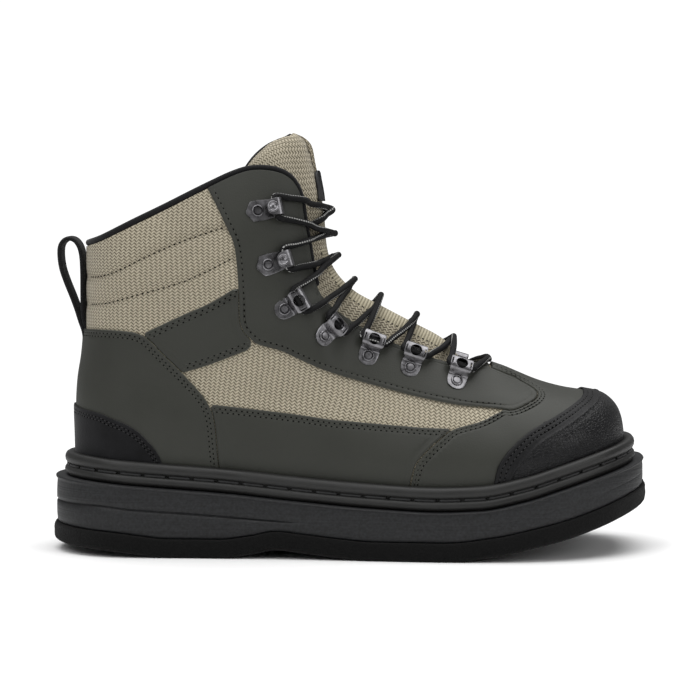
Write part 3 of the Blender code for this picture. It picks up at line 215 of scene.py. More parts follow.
def upper_rows(per_span, levels):
    """Side-view points of the upper in upright rows, heel to toe, from under the welt to the top edge."""
    nose = (float(front_x(0.345 * COLLAR_HEIGHT)), 0.345 * COLLAR_HEIGHT)
    ridge = FRONT[(FRONT[:, 0] > THROAT_BASE_X + 0.5) & (FRONT[:, 1] > nose[1])]
    tops = (COLLAR[::-1], THROAT, np.vstack([THROAT[-1:], ridge, [nose]]))
    low_ends = back_x(midsole_top(BACK[-1, 0]) + 0.3), front_x(midsole_top(FRONT[-1, 0]) + 0.3)
    low_x = np.linspace(*low_ends, 120)
    low_line = np.stack([low_x, midsole_top(low_x) + 0.3], axis=1)
    table = [(i, place, share) for i, (place, share) in enumerate(SECTIONS)]
    at = np.linspace(0, len(SECTIONS) - 1, (len(SECTIONS) - 1) * per_span + 1)
    places, shares = read(table, at, 1), read(table, at, 2)
    part = np.minimum(places + 1e-9, 2.999).astype(int)
    low = along(low_line, shares)
    high = np.array([along(tops[k], p - k) for k, p in zip(part, places)])
    feather = ((WELT_HEIGHT - 0.3) / (high[:, 1] - low[:, 1]))[:, None]
    above = 1 - (1 - np.linspace(0, 1, levels)) ** 1.5
    under = np.linspace(0, 1, 5)[:-1]
    heights = np.hstack([feather * under, feather + (1 - feather) * above])[:, :, None]
    rows = low[:, None] + (high - low)[:, None] * heights
    for edge_x, weight in ((back_x, 1 - smooth(shares / 0.3)), (front_x, smooth((shares - 0.88) / 0.12))):
        ends = edge_x(low[:, 1]), edge_x(high[:, 1])
        straight = ends[0][:, None] + (ends[1] - ends[0])[:, None] * heights[:, :, 0]
        rows[:, :, 0] += (edge_x(rows[:, :, 1]) - straight) * weight[:, None]
    return rows


def sheet(points, uv=None, flip=False):
    """A grid whose corners are moved to the rows of points, with its map in millimetres."""
    rows, columns = points.shape[:2]
    bm = bmesh.new()
    bmesh.ops.create_grid(bm, x_segments=columns - 1, y_segments=rows - 1, size=0.5)
    for vert, point in zip(bm.verts, points.reshape(-1, 3)):
        vert.co = point
    layer = bm.loops.layers.uv.new("map")
    if uv is not None:
        flat = uv.reshape(-1, 2)
        for face in bm.faces:
            for loop in face.loops:
                loop[layer].uv = flat[loop.vert.index]
    if flip:
        bmesh.ops.reverse_faces(bm, faces=bm.faces)
    return bm


def joined(*parts):
    """One bmesh of several."""
    bm = bmesh.new()
    for part in parts:
        mesh = bpy.data.meshes.new("part")
        part.to_mesh(mesh)
        part.free()
        bm.from_mesh(mesh)
        bpy.data.meshes.remove(mesh)
    return bm


def weld(bm, distance=0.02):
    bmesh.ops.remove_doubles(bm, verts=bm.verts, dist=distance)
    return bm


def store(bm, name, finishes, nodes=()):
    """Moves a finished bmesh to the frame and makes it a piece that rides on the boot."""
    bmesh.ops.transform(bm, matrix=TO_FRAME, verts=bm.verts)
    mesh = bpy.data.meshes.new(name)
    bm.to_mesh(mesh)
    bm.free()
    mesh.shade_smooth()
    obj = bpy.data.objects.new(name, mesh)
    bpy.context.scene.collection.objects.link(obj)
    for finish in finishes if isinstance(finishes, (list, tuple)) else [finishes]:
        mesh.materials.append(finish)
    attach(obj, "root")
    if nodes:
        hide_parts(*nodes)
    return obj


def colour(text):
    """sRGB hex to linear."""
    parts = [int(text[i:i + 2], 16) / 255 for i in (1, 3, 5)]
    return (*(p / 12.92 if p < 0.04045 else ((p + 0.055) / 1.055) ** 2.4 for p in parts), 1.0)


def add(tree, kind, links=None, stops=(), **settings):
    """Adds a node with its settings, or fills in one that is there, given as kind.

    links gives inputs a value, an output or a node, which stands for its first output.
    stops are a ramp's."""
    node = kind if isinstance(kind, bpy.types.Node) else tree.nodes.new("ShaderNode" + kind)
    for name, value in settings.items():
        setattr(node, name, value)
    if stops:
        elements = node.color_ramp.elements
        while len(elements) < len(stops):
            elements.new(0.5)
        for element, (position, value) in zip(elements, stops):
            element.position = position
            element.color = colour(value) if isinstance(value, str) else (value, value, value, 1)
    for key, value in (links or {}).items():
        if isinstance(value, bpy.types.Node):
            value = value.outputs[0]
        if isinstance(value, bpy.types.NodeSocket):
            tree.links.new(value, node.inputs[key])
        else:
            node.inputs[key].default_value = value
    return node


def finish_named(name, **fixed):
    """A material with one Principled shader, and its tree and shader."""
    made = bpy.data.materials.new(name)
    made.use_nodes = True
    shader = made.node_tree.nodes["Principled BSDF"]
    for key, value in fixed.items():
        shader.inputs[key.replace("_", " ")].default_value = value
    return made, made.node_tree, shader


ZIGZAG_ROW = 1.67
ZIGZAG_WAVE = 2.7


def scale_for(size):
    """A texture's scale for a pattern of this size in millimetres."""
    return 1000.0 / size


def mesh_cloth_finish(name, turned_up=False):
    """Rough tan yarn in zigzag rows with small dark gaps; painted light makes one leg of each zigzag lighter than
    the other. turned_up runs the rows upright.

    Its fibres are too fine to show, so they are drawn 0.7 mm across."""
    made, tree, shader = finish_named(name, Roughness=0.9, Specular_IOR_Level=0.25, Sheen_Weight=0.12,
                                      Sheen_Roughness=0.5)
    place = add(tree, "SeparateXYZ", {0: add(tree, "UVMap", uv_map="map")})
    across, up = place.outputs["X"], place.outputs["Y"]
    if turned_up:
        across, up = up, across
    place3 = add(tree, "TexCoord").outputs["Object"]
    pull = add(tree, "TexNoise", {"Vector": place3, "Scale": scale_for(13.33), "Detail": 2.0})
    stretch = add(tree, "Math", {0: pull, 1: 0.5}, operation="SUBTRACT")
    stretch = add(tree, "Math", {0: stretch, 1: 2.4}, operation="MULTIPLY")
    pulled = add(tree, "Math", {0: across, 1: stretch}, operation="ADD")
    zigzag = add(tree, "Math", {0: pulled, 1: ZIGZAG_WAVE / 2}, operation="DIVIDE")
    zigzag = add(tree, "Math", {0: zigzag, 1: 1.0}, operation="PINGPONG")
    # Painted light: a sine along the rows lightens the rising leg of each zigzag and darkens the falling leg
    facing = add(tree, "Math", {0: pulled, 1: 2 * math.pi / ZIGZAG_WAVE}, operation="MULTIPLY")
    facing = add(tree, "Math", {0: facing}, operation="SINE")
    lifted = add(tree, "Math", {0: stretch, 1: 0.35}, operation="MULTIPLY")
    lifted = add(tree, "Math", {0: up, 1: lifted}, operation="ADD")
    peaks = add(tree, "Math", {0: zigzag, 1: ZIGZAG_ROW * 0.72}, operation="MULTIPLY")
    lifted = add(tree, "Math", {0: lifted, 1: peaks}, operation="ADD")
    row = add(tree, "Math", {0: lifted, 1: ZIGZAG_ROW / 2}, operation="DIVIDE")
    row = add(tree, "Math", {0: row, 1: 1.0}, operation="PINGPONG")
    patches = add(tree, "TexNoise", {"Vector": place3, "Scale": scale_for(38.5), "Detail": 4.0})
    fibres = add(tree, "TexNoise", {"Vector": place3, "Scale": scale_for(0.6667), "Detail": 3.0})
    at_turn = add(tree, "Math", {0: zigzag, 1: 0.22}, operation="LESS_THAN")
    at_edge = add(tree, "Math", {0: row, 1: 0.3}, operation="LESS_THAN")
    gaps = add(tree, "Math", {0: at_turn, 1: at_edge}, operation="MULTIPLY")
    rough_yarn = add(tree, "Math", {0: fibres, 1: 0.5}, operation="SUBTRACT")
    rough_yarn = add(tree, "Math", {0: rough_yarn, 1: 0.7}, operation="MULTIPLY")
    rough_yarn = add(tree, "Math", {0: row, 1: rough_yarn}, operation="ADD")
    # the painted light on the legs goes into the yarn's tone as well as its height
    yarn = add(tree, "Math", {0: facing, 1: 0.16}, operation="MULTIPLY")
    yarn = add(tree, "Math", {0: rough_yarn, 1: yarn}, operation="ADD")
    sunk = add(tree, "Math", {0: gaps, 1: 0.25}, operation="MULTIPLY")
    yarn = add(tree, "Math", {0: yarn, 1: sunk}, operation="SUBTRACT")
    yarn_tones = ((0.0, "#5d5749"), (0.28, "#857d6a"), (0.55, "#aaa18d"), (1.0, "#c0b7a3"))
    tones = add(tree, "ValToRGB", {0: yarn}, stops=yarn_tones)
    shade = add(tree, "ValToRGB", {0: patches}, stops=((0.3, 0.90), (0.7, 1.0)))
    mixed = add(tree, "Mix", {0: 1.0, 6: tones, 7: shade}, data_type="RGBA", blend_type="MULTIPLY")
    relief = add(tree, "Bump", {"Height": yarn, "Strength": 0.7, "Distance": 0.00045})
    add(tree, shader, {"Base Color": mixed.outputs[2], "Normal": relief})
    return made


def lining_finish():
    """A dull black knit that keeps the boot's inside dark. Its cells are drawn 1.1 mm across to show."""
    made, tree, shader = finish_named("black_knit_lining", Roughness=0.95, Specular_IOR_Level=0.2,
                                      Sheen_Weight=0.1)
    place3 = add(tree, "TexCoord").outputs["Object"]
    cells = add(tree, "TexVoronoi", {"Vector": place3, "Scale": scale_for(1.111), "Randomness": 0.2},
                distance="CHEBYCHEV")
    tint = add(tree, "ValToRGB", {0: cells}, stops=((0.2, "#0c0c0d"), (0.7, "#1c1c1e")))
    relief = add(tree, "Bump", {"Height": cells, "Strength": 0.6, "Distance": 0.0003})
    add(tree, shader, {"Base Color": tint, "Normal": relief})
    return made


mesh_cloth = mesh_cloth_finish("tan_zigzag_mesh")
lining = lining_finish()

QUILT_ROWS = (
    ((-139.0, 146.7), (-132.6, 147.3), (-123.1, 150.3), (-107.1, 157.9), (-90.2, 165.3), (-69.7, 172.4),
     (-55.0, 177.0)),
    ((-139.0, 132.0), (-128.0, 133.4), (-111.6, 137.9), (-90.1, 144.0), (-75.0, 150.4), (-62.5, 156.9),
     (-50.0, 163.0)),
)
# Soft creases, pressed in: x, z at both ends, side (0 for both), half width and depth
CREASES = (
    (-60, 128, -20, 112, 0, 5.0, 0.45), (-74, 140, -50, 132, 0, 4.0, 0.30), (60, 92, 84, 62, 0, 6.0, 0.35),
    (86, 90, 104, 66, 0, 6.0, 0.30), (-120, 100, -96, 84, 0, 7.0, 0.25), (-66, 168, -36, 160, 0, 5.0, 0.30),
)


def distance_to(points, line):
    """Distance from points to a polyline, in as many dimensions as they have."""
    points, line = np.asarray(points, float), np.asarray(line, float)
    best = np.full(len(points), 1e9)
    for a, b in zip(line[:-1], line[1:]):
        run = b - a
        t = np.clip(((points - a) @ run) / max(run @ run, 1e-9), 0, 1)
        best = np.minimum(best, np.linalg.norm(points - a - t[:, None] * run, axis=1))
    return best


def worn_in(points):
    """How far the upper's face gives at points, from soft creases."""
    flat, give = points[:, [0, 2]], np.zeros(len(points))
    for x0, z0, x1, z1, side, width, depth in CREASES:
        there = np.exp(-(distance_to(flat, [(x0, z0), (x1, z1)]) / width) ** 2)
        give -= depth * there * (1.0 if side == 0 else (np.sign(points[:, 1]) == side))
    return give


def vectors(bm, what):
    return np.array([getattr(v, what) for v in bm.verts])


def move_out(bm, distances):
    """Moves each point along its normal."""
    bm.normal_update()
    for vert, co in zip(bm.verts, vectors(bm, "co") + vectors(bm, "normal") * distances[:, None]):
        vert.co = co


# The quarter's rows run down towards the toe; the collar's are level
QUARTER_TILT = 0.19
QUARTER_FROM = -70.0
PER_SPAN = 7
LEVELS = 84
rows = upper_rows(PER_SPAN, LEVELS)
halves = []
for side in (-1, 1):
    y = side_y(rows[..., 0], rows[..., 1], side)
    y[[0, -1]] = middle_y(rows[[0, -1], :, 0])
    on_ridge = rows[:, -1, 0] > THROAT_BASE_X - 0.1
    y[on_ridge, -1] = middle_y(rows[on_ridge, -1, 0])
    points = np.stack([rows[..., 0], y, rows[..., 1]], axis=-1)
    steps = np.linalg.norm(np.diff(points[..., :2], axis=0), axis=-1)
    girth = np.vstack([np.zeros((1, rows.shape[1])), np.cumsum(steps, axis=0)])
    row_height = points[..., 2] + QUARTER_TILT * np.maximum(points[..., 0] - QUARTER_FROM, 0)
    halves.append(sheet(points, np.stack([girth * side, row_height], axis=-1), flip=side < 0))
skin = weld(joined(*halves), 0.03)
move_out(skin, worn_in(vectors(skin, "co")))
skin_mesh = bpy.data.meshes.new("skin")
skin.to_mesh(skin_mesh)

spots = vectors(skin, "co")
quilted = np.zeros(len(spots))
behind = smooth((-52 - spots[:, 0]) / 10) * smooth((spots[:, 2] - 112) / 8)
for row in QUILT_ROWS:
    quilted -= 1.5 * np.exp(-(distance_to(spots[:, [0, 2]], curve_through(row, 3)) / 2.3) ** 2)
quilted += 0.55
move_out(skin, quilted * behind)
upper = store(skin, "upper_cloth", [mesh_cloth, lining], ["upper"])
padding = upper.vertex_groups.new(name="padding")
for vert in upper.data.vertices:
    height, front = vert.co.z * 1000 / COLLAR_HEIGHT, vert.co.x * 1000 / UPPER_LENGTH
    padded = float(smooth((height - 0.62) / 0.12) * smooth((-0.20 - front) / 0.08))
    padding.add([vert.index], 3 / 7 + (1 - 3 / 7) * padded, "REPLACE")
wall = upper.modifiers.new("wall", "SOLIDIFY")
wall.thickness = 0.007
wall.offset = -1
wall.vertex_group = "padding"
wall.material_offset = 1
wall.material_offset_rim = 1

# Leather overlays.
# Coated split leather, matt olive grey, 1.2 to 1.6 mm thick, cut with a die and sewn down over the mesh.
# Each is cut out of the upper's own form by its outline, with a rounded cut edge and a sewn dip beside it.
HEEL_PANEL_EDGE = (
    (-0.520, 0.576), (-0.455, 0.582), (-0.405, 0.580), (-0.380, 0.572), (-0.362, 0.555),
    (-0.341, 0.523), (-0.301, 0.467), (-0.270, 0.418), (-0.257, 0.391), (-0.248, 0.358),
    (-0.243, 0.302), (-0.237, 0.180), (-0.236, 0.100),
)
EYESTAY_BACK = (
    (-0.268, 1.000), (-0.259, 0.949), (-0.238, 0.890), (-0.222, 0.843), (-0.211, 0.809),
    (-0.206, 0.770), (-0.203, 0.722), (-0.201, 0.660), (-0.200, 0.609), (-0.193, 0.579),
    (-0.179, 0.559),
)
EYESTAY_LOW = (
    (-0.179, 0.559), (-0.168, 0.546), (-0.125, 0.529), (-0.093, 0.508), (-0.029, 0.469), (0.050, 0.435),
    (0.123, 0.408), (0.193, 0.388), (0.236, 0.382), (0.278, 0.376),
)
EYESTAY_TIP = (
    (0.278, 0.376), (0.293, 0.373), (0.319, 0.386), (0.337, 0.398), (0.342, 0.409),
    (0.336, 0.419), (0.322, 0.431), (0.297, 0.449), (0.257, 0.472),
)
BAND_TOP = ((-0.400, 0.553), (-0.368, 0.578), (-0.307, 0.619), (-0.250, 0.655), (-0.204, 0.695))
BAND_BOTTOM = ((-0.307, 0.471), (-0.250, 0.496), (-0.208, 0.519), (-0.169, 0.541))
MUDGUARD_TOP = (
    (-0.270, 0.394), (-0.179, 0.380), (-0.090, 0.365), (-0.035, 0.354), (0.022, 0.346),
    (0.078, 0.339), (0.134, 0.333), (0.187, 0.331),
)
VAMP_EDGE = (
    (0.278, 0.376), (0.234, 0.348), (0.187, 0.331), (0.162, 0.306), (0.134, 0.271),
    (0.115, 0.233), (0.104, 0.150), (0.103, 0.080),
)
TOE_CAP_EDGE = (
    (0.436, 0.450), (0.432, 0.404), (0.404, 0.378), (0.365, 0.351), (0.325, 0.324),
    (0.302, 0.300), (0.283, 0.276), (0.269, 0.251), (0.261, 0.227), (0.252, 0.150), (0.250, 0.080),
)
HEEL_CAP_EDGE = (
    (-0.530, 0.392), (-0.495, 0.378), (-0.452, 0.367), (-0.432, 0.356), (-0.405, 0.341),
    (-0.382, 0.320), (-0.366, 0.297), (-0.352, 0.274), (-0.341, 0.239), (-0.335, 0.150), (-0.334, 0.080),
)


def leather_finish(name, base, light, edge_highlight_tone, roughness, grain_mm, grain_depth, coat):
    """Coated leather: fine closed grain, small tone changes, and a paler cut edge whose colour is partly painted
    highlight on the raised edge. Its pores are drawn coarse.
    """
    made, tree, shader = finish_named(name, Coat_Weight=coat, Coat_Roughness=0.4, Specular_IOR_Level=0.28)
    place3 = add(tree, "TexCoord").outputs["Object"]
    cloudy = add(tree, "TexNoise", {"Vector": place3, "Scale": scale_for(45.5), "Detail": 4.0,
                                    "Roughness": 0.55})
    grain = add(tree, "TexVoronoi", {"Vector": place3, "Scale": scale_for(grain_mm), "Smoothness": 0.6},
                feature="SMOOTH_F1")
    pores = add(tree, "TexNoise", {"Vector": place3, "Scale": scale_for(0.4167), "Detail": 2.0})
    edge_at = add(tree, "Attribute", attribute_name="edge").outputs["Fac"]
    tone = add(tree, "ValToRGB", {0: cloudy}, stops=((0.34, base), (0.68, light)))
    # The cut edge's paler band: partly the bare cut, partly painted highlight on the raised edge
    cut = add(tree, "Math", {0: edge_at, 1: 2.0}, operation="DIVIDE")
    cut = add(tree, "ValToRGB", {0: cut}, stops=((0.0, 1.0), (0.2, 0.0)))
    mixed = add(tree, "Mix", {0: cut, 6: tone, 7: colour(edge_highlight_tone)}, data_type="RGBA")
    rough = add(tree, "ValToRGB", {0: cloudy}, stops=((0.3, roughness - 0.05), (0.7, roughness + 0.06)))
    grain = add(tree, "Math", {0: grain, 1: grain_depth}, operation="MULTIPLY")
    pores = add(tree, "Math", {0: pores, 1: 0.25}, operation="MULTIPLY")
    height = add(tree, "Math", {0: grain, 1: pores}, operation="ADD")
    relief = add(tree, "Bump", {"Height": height, "Strength": 0.35, "Distance": 0.00025})
    add(tree, shader, {"Base Color": mixed.outputs[2], "Roughness": rough, "Normal": relief})
    return made


# 5c5d57 is the paler cut edge, partly painted highlight
olive_leather = leather_finish("olive_coated_leather", "#2d2e29", "#32332e", "#5c5d57", roughness=0.56,
                               grain_mm=0.9, grain_depth=0.5, coat=0.05)


def pebbled_finish():
    """Black toe leather: a smooth sewn band along its edge, then deep shiny pebbles 1.6 mm across."""
    made, tree, shader = finish_named("black_pebbled_leather", Coat_Weight=0.06, Coat_Roughness=0.25,
                                      Specular_IOR_Level=0.22)
    place3 = add(tree, "TexCoord").outputs["Object"]
    warp = add(tree, "TexNoise", {"Vector": place3, "Scale": scale_for(6.25), "Detail": 1.0})
    shifted = add(tree, "VectorMath", {0: warp.outputs[1], 1: (0.0022,) * 3, 2: place3},
                  operation="MULTIPLY_ADD")
    cells = add(tree, "TexVoronoi", {"Vector": shifted, "Scale": scale_for(1.613)}, feature="DISTANCE_TO_EDGE")
    pebble = add(tree, "ValToRGB", {0: cells}, stops=((0.0, 0.0), (0.16, 0.8), (0.42, 1.0)))
    edge_at = add(tree, "Attribute", attribute_name="edge").outputs["Fac"]
    inner = add(tree, "Math", {0: edge_at, 1: 10.0}, operation="DIVIDE")
    inner = add(tree, "ValToRGB", {0: inner}, stops=((0.76, 0.0), (0.82, 1.0)))
    height = add(tree, "Math", {0: inner, 1: 0.8}, operation="MULTIPLY")
    height = add(tree, "Math", {0: height, 1: 0.2}, operation="ADD")
    height = add(tree, "Math", {0: pebble, 1: height}, operation="MULTIPLY")
    tint = add(tree, "ValToRGB", {0: pebble}, stops=((0.0, "#060607"), (1.0, "#101012")))
    rough = add(tree, "ValToRGB", {0: inner}, stops=((0.0, 0.62), (1.0, 0.38)))
    relief = add(tree, "Bump", {"Height": height, "Strength": 0.6, "Distance": 0.00045})
    add(tree, shader, {"Base Color": tint, "Roughness": rough, "Normal": relief})
    return made


def nubuck_finish():
    """Black heel leather with a short nap that scatters the light, drawn 1.1 mm coarse so that it shows."""
    made, tree, shader = finish_named("black_nubuck", Roughness=0.92, Specular_IOR_Level=0.2,
                                      Sheen_Weight=0.12, Sheen_Roughness=0.4)
    place3 = add(tree, "TexCoord").outputs["Object"]
    nap = add(tree, "TexNoise", {"Vector": place3, "Scale": scale_for(1.111), "Detail": 3.0})
    cloudy = add(tree, "TexNoise", {"Vector": place3, "Scale": scale_for(16.67), "Detail": 3.0})
    tint = add(tree, "ValToRGB", {0: cloudy}, stops=((0.3, "#111112"), (0.7, "#1b1b1d")))
    relief = add(tree, "Bump", {"Height": nap, "Strength": 0.5, "Distance": 0.0003})
    add(tree, shader, {"Base Color": tint, "Normal": relief})
    return made


pebbled_leather = pebbled_finish()
nubuck = nubuck_finish()


def edge(shares, per_span=5):
    return curve_through(in_sizes(shares), per_span)


def moved_aside(line, distance):
    """A side-view line moved to its left by a distance."""
    line = np.array(line, float)
    run = np.gradient(line, axis=0)
    run /= np.linalg.norm(run, axis=1)[:, None]
    return line + np.stack([-run[:, 1], run[:, 0]], axis=1) * distance


def inside(points, polygon):
    """Which side-view points lie inside a polygon."""
    x, z = points[:, 0], points[:, 1]
    within = np.zeros(len(points), bool)
    for (x0, z0), (x1, z1) in zip(polygon, np.roll(polygon, -1, axis=0)):
        if z0 != z1:
            within ^= ((z0 > z) != (z1 > z)) & (x < (x1 - x0) * (z - z0) / (z1 - z0) + x0)
    return within


def surface(x, z, side):
    """Points of the upper's face at (x, z), and its normals."""
    x, z, side = (np.array(v, float) for v in np.broadcast_arrays(x, z, side))
    step = 0.4
    y = side_y(x, z, side)
    slope_x = (side_y(x + step, z, side) - side_y(x - step, z, side)) / (2 * step)
    slope_z = (side_y(x, z + step, side) - side_y(x, z - step, side)) / (2 * step)
    normal = np.stack([-slope_x, np.ones_like(x), -slope_z], axis=-1) * side[..., None]
    normal /= np.linalg.norm(normal, axis=-1, keepdims=True)
    return np.stack([x, y, z], axis=-1), normal


def on_form(line, side):
    """A side-view line on the upper's form."""
    return surface(line[:, 0], line[:, 1], side)[0]


def cut_along(bm, layer, level):
    """Cuts the faces where the layer passes a level."""
    made = []
    for old in list(bm.edges):
        a, b = old.verts
        at_a, at_b = a[layer] - level, b[layer] - level
        if at_a * at_b < 0:
            share = at_a / (at_a - at_b)
            new = bmesh.utils.edge_split(old, a, min(max(share, 0.02), 0.98))[1]
            new[layer] = level
            made.append(new)
    bmesh.ops.connect_verts(bm, verts=made)


OVERLAY_BASE = 0.3


def overlay(name, outline, layer, thick, profile, finish, side=0, soft_line=None):
    """A leather piece: the part of the upper's form inside the outline, raised by the profile.

    profile gives (distance from the cut edge, share of the thickness) pairs."""
    outline = np.array([tuple(p) for p in outline])
    bm = bmesh.new()
    bm.from_mesh(skin_mesh)
    at = vectors(bm, "co")
    closed = np.vstack([outline, outline[:1]])
    distance = np.full(len(at), 1e9)
    for s in ((-1, 1) if side == 0 else (side,)):
        distance = np.minimum(distance, distance_to(at, on_form(closed, s)))
    within = inside(at[:, [0, 2]], outline)
    if side:
        within &= (at[:, 1] - middle_y(at[:, 0])) * side > -0.01
    signed = np.where(within, distance, -distance)
    if soft_line is not None:
        for s in ((-1, 1) if side == 0 else (side,)):
            soft = distance_to(at, on_form(soft_line, s)) + 0.05
            signed = np.where(within, np.minimum(signed, soft), signed)
    edge_layer = bm.verts.layers.float.new("edge")
    for vert, value in zip(bm.verts, signed):
        vert[edge_layer] = value
    far = [f for f in bm.faces if max(v[edge_layer] for v in f.verts) < -2.5
           or (side and (f.calc_center_median().y - middle_y(f.calc_center_median().x)) * side < 0)]
    bmesh.ops.delete(bm, geom=far, context="FACES")
    bm.normal_update()
    for level in (0.0, *(d for d, _ in profile if d > 0)):
        cut_along(bm, edge_layer, level)
    bm.normal_update()
    reach = np.array([v[edge_layer] for v in bm.verts])
    rise = np.interp(reach, [d for d, _ in profile], [h for _, h in profile])
    normals = vectors(bm, "normal")
    base = OVERLAY_BASE + layer * 1.5
    lifted = vectors(bm, "co") + normals * (base + thick * rise)[:, None]
    outer_faces = [f for f in bm.faces if sum(v[edge_layer] for v in f.verts) / len(f.verts) < 0]
    for vert, co in zip(bm.verts, lifted):
        vert.co = co
    bmesh.ops.delete(bm, geom=outer_faces, context="FACES")
    rim = [e for e in bm.edges if e.is_boundary]
    kept = {v: v.normal.copy() for e in rim for v in e.verts}
    made = bmesh.ops.extrude_edge_only(bm, edges=rim)["geom"]
    skirt = [g for g in made if isinstance(g, bmesh.types.BMVert)]
    bm.normal_update()
    for vert in skirt:
        top = next(e.other_vert(vert) for e in vert.link_edges if e.other_vert(vert) in kept)
        vert.co = top.co - kept[top] * (base + thick * 0.5)
        # The cut face takes the paler edge colour, partly painted highlight
        vert[edge_layer] = -0.3
    return store(bm, name, finish, [name.replace("leather_", "")])


PLAIN = ((0.0, 0.45), (0.35, 0.85), (0.8, 1.0))
SINGLE = (*PLAIN, (2.1, 1.0), (2.7, 0.84), (3.3, 1.0))
DOUBLE = (*PLAIN, (1.4, 0.98), (1.9, 0.84), (2.8, 0.95), (3.7, 0.84), (4.2, 1.0))

BELOW = -10.0
heel_panel_edge, heel_cap_edge, toe_cap_edge = edge(HEEL_PANEL_EDGE), edge(HEEL_CAP_EDGE), edge(TOE_CAP_EDGE)
vamp_edge, tip = edge(VAMP_EDGE), edge(EYESTAY_TIP)
eyestay_back, eyestay_low = edge(EYESTAY_BACK), edge(EYESTAY_LOW)
rear_far, fore_far, rim_z = -0.6 * UPPER_LENGTH, 0.6 * UPPER_LENGTH, 1.2 * COLLAR_HEIGHT


def closed_below(line, far_x):
    return np.vstack([line, [(line[-1][0], BELOW), (far_x, BELOW), (far_x, line[0][1])]])


overlay("leather_heel_panel", closed_below(heel_panel_edge, rear_far), 0, 1.7, DOUBLE, olive_leather)
NUBUCK_PROFILE = (*PLAIN, (1.6, 1.0), (2.1, 0.86), (2.9, 1.0), (3.6, 0.86), (4.2, 1.0))
overlay("leather_heel_cap", closed_below(heel_cap_edge, rear_far), 1, 1.4, NUBUCK_PROFILE, nubuck)
TOE_PROFILE = (*PLAIN, (1.9, 1.0), (2.4, 0.84), (2.9, 1.0), (4.4, 1.0), (4.9, 0.84), (5.4, 1.0),
               (7.0, 1.0), (7.6, 1.25), (8.2, 1.3), (8.9, 0.95), (11.0, 1.05))
overlay("leather_toe_cap", closed_below(toe_cap_edge, fore_far), 1, 1.3, TOE_PROFILE, pebbled_leather)
under_cap = moved_aside(toe_cap_edge, 9.0)
under_cap = under_cap[under_cap[:, 1] < 100]
vamp_outline = np.vstack([moved_aside(tip, -0.3)[::-1], moved_aside(vamp_edge, 0.3)[1:],
                          [(vamp_edge[-1][0], BELOW), (under_cap[-1][0], BELOW)], under_cap[::-1],
                          [(under_cap[0][0], 0.6 * COLLAR_HEIGHT),
                           (tip[-1][0] + 0.3, 0.6 * COLLAR_HEIGHT)]])
overlay("leather_vamp", vamp_outline, 0, 1.5, DOUBLE, olive_leather)
eyestay_outline = np.vstack([eyestay_back, eyestay_low[1:], tip[1:],
                             [(0.25 * UPPER_LENGTH, 0.6 * COLLAR_HEIGHT), (0.1 * UPPER_LENGTH, rim_z),
                              (eyestay_back[0][0], rim_z)]])
ahead_of_panel = moved_aside(heel_panel_edge, 0.25)
behind_vamp = moved_aside(vamp_edge, -0.25)
beside_back = moved_aside(eyestay_back, -0.25)


def falling_x(line, z):
    line = line[np.argmax(line[:, 1]):]
    return np.interp(-np.asarray(z), -line[:, 1], line[:, 0])


def clipped(line, rear, fore):
    """The stretch of a line between two falling lines."""
    fine = along(line, np.linspace(0, 1, 120))
    keep = np.ones(len(fine), bool)
    if rear is not None:
        keep &= fine[:, 0] > falling_x(rear, fine[:, 1])
    if fore is not None:
        keep &= fine[:, 0] < falling_x(fore, fine[:, 1])
    return fine[keep]


def between(line, low, high):
    fine = along(line, np.linspace(0, 1, 240))
    return fine[(fine[:, 1] > low) & (fine[:, 1] < high)]


band_top = clipped(edge(BAND_TOP), ahead_of_panel, beside_back)
band_low = clipped(edge(BAND_BOTTOM), ahead_of_panel, beside_back)
guard_top = clipped(edge(MUDGUARD_TOP), ahead_of_panel, behind_vamp)
falling_panel = ahead_of_panel[ahead_of_panel[:, 0] > -0.41 * UPPER_LENGTH]
band_outline = np.vstack([band_top, between(beside_back, band_low[-1][1], band_top[-1][1]), band_low[::-1],
                          between(falling_panel, band_low[0][1], band_top[0][1])[::-1]])
guard_fore = between(behind_vamp, 0, guard_top[-1][1])
guard_rear = between(falling_panel, 0, guard_top[0][1])
guard_outline = np.vstack([guard_top, guard_fore, [(guard_fore[-1][0], BELOW), (guard_rear[-1][0], BELOW)],
                           guard_rear[::-1]])
for word, side in (("lateral", -1), ("medial", 1)):
    overlay(f"leather_eyestay_{word}", eyestay_outline, 0, 1.3, SINGLE, olive_leather, side,
            soft_line=THROAT)
    overlay(f"leather_band_{word}", band_outline, 0, 1.0, DOUBLE, olive_leather, side)
    overlay(f"leather_mudguard_{word}", guard_outline, 0, 1.0, DOUBLE, olive_leather, side)

# Seams of the upper.
# Bonded polyester thread, one stitch about 3 mm, single beside the eyestays and double elsewhere.
# It is olive on the olive leather and black on the caps, and lies in the dips that it has pulled.
# The threads are dull with a faint shine. A needle hole is drawn as a black dot between two stitches, painted shade
# in the hole.
olive_thread = finish_named("olive_thread", Roughness=0.65, Base_Color=colour("#363730"))[0]
thread = finish_named("black_thread", Roughness=0.6, Base_Color=colour("#111112"))[0]
painted_hole_shade = finish_named("painted_hole_shade", Roughness=1.0, Specular_IOR_Level=0.0,
                           Base_Color=colour("#050505"))[0]


def seam_line(line, side, inset, out):
    """Points and normals along a side-view line, moved in from it over the form and lifted."""
    fine = along(line, np.linspace(0, 1, 400))
    point, normal = surface(fine[:, 0], fine[:, 1], side)
    run = np.gradient(point, axis=0)
    run /= np.linalg.norm(run, axis=1)[:, None] + 1e-9
    aside = np.cross(normal, run)
    aside /= np.linalg.norm(aside, axis=1)[:, None] + 1e-9
    moved = point + aside * inset
    on, normal = surface(moved[:, 0], moved[:, 2], side)
    shown = (on[:, 2] > feather_z(on[:, 0]) + 0.3) & (on[:, 2] < front_z(on[:, 0]) - 0.02)
    collar_z = np.interp(on[:, 0], COLLAR[::-1, 0], COLLAR[::-1, 1])
    shown &= (on[:, 0] > back_x(on[:, 2]) + 0.02) & (on[:, 2] < collar_z - 1.5)
    return (on + normal * out)[shown], normal[shown]


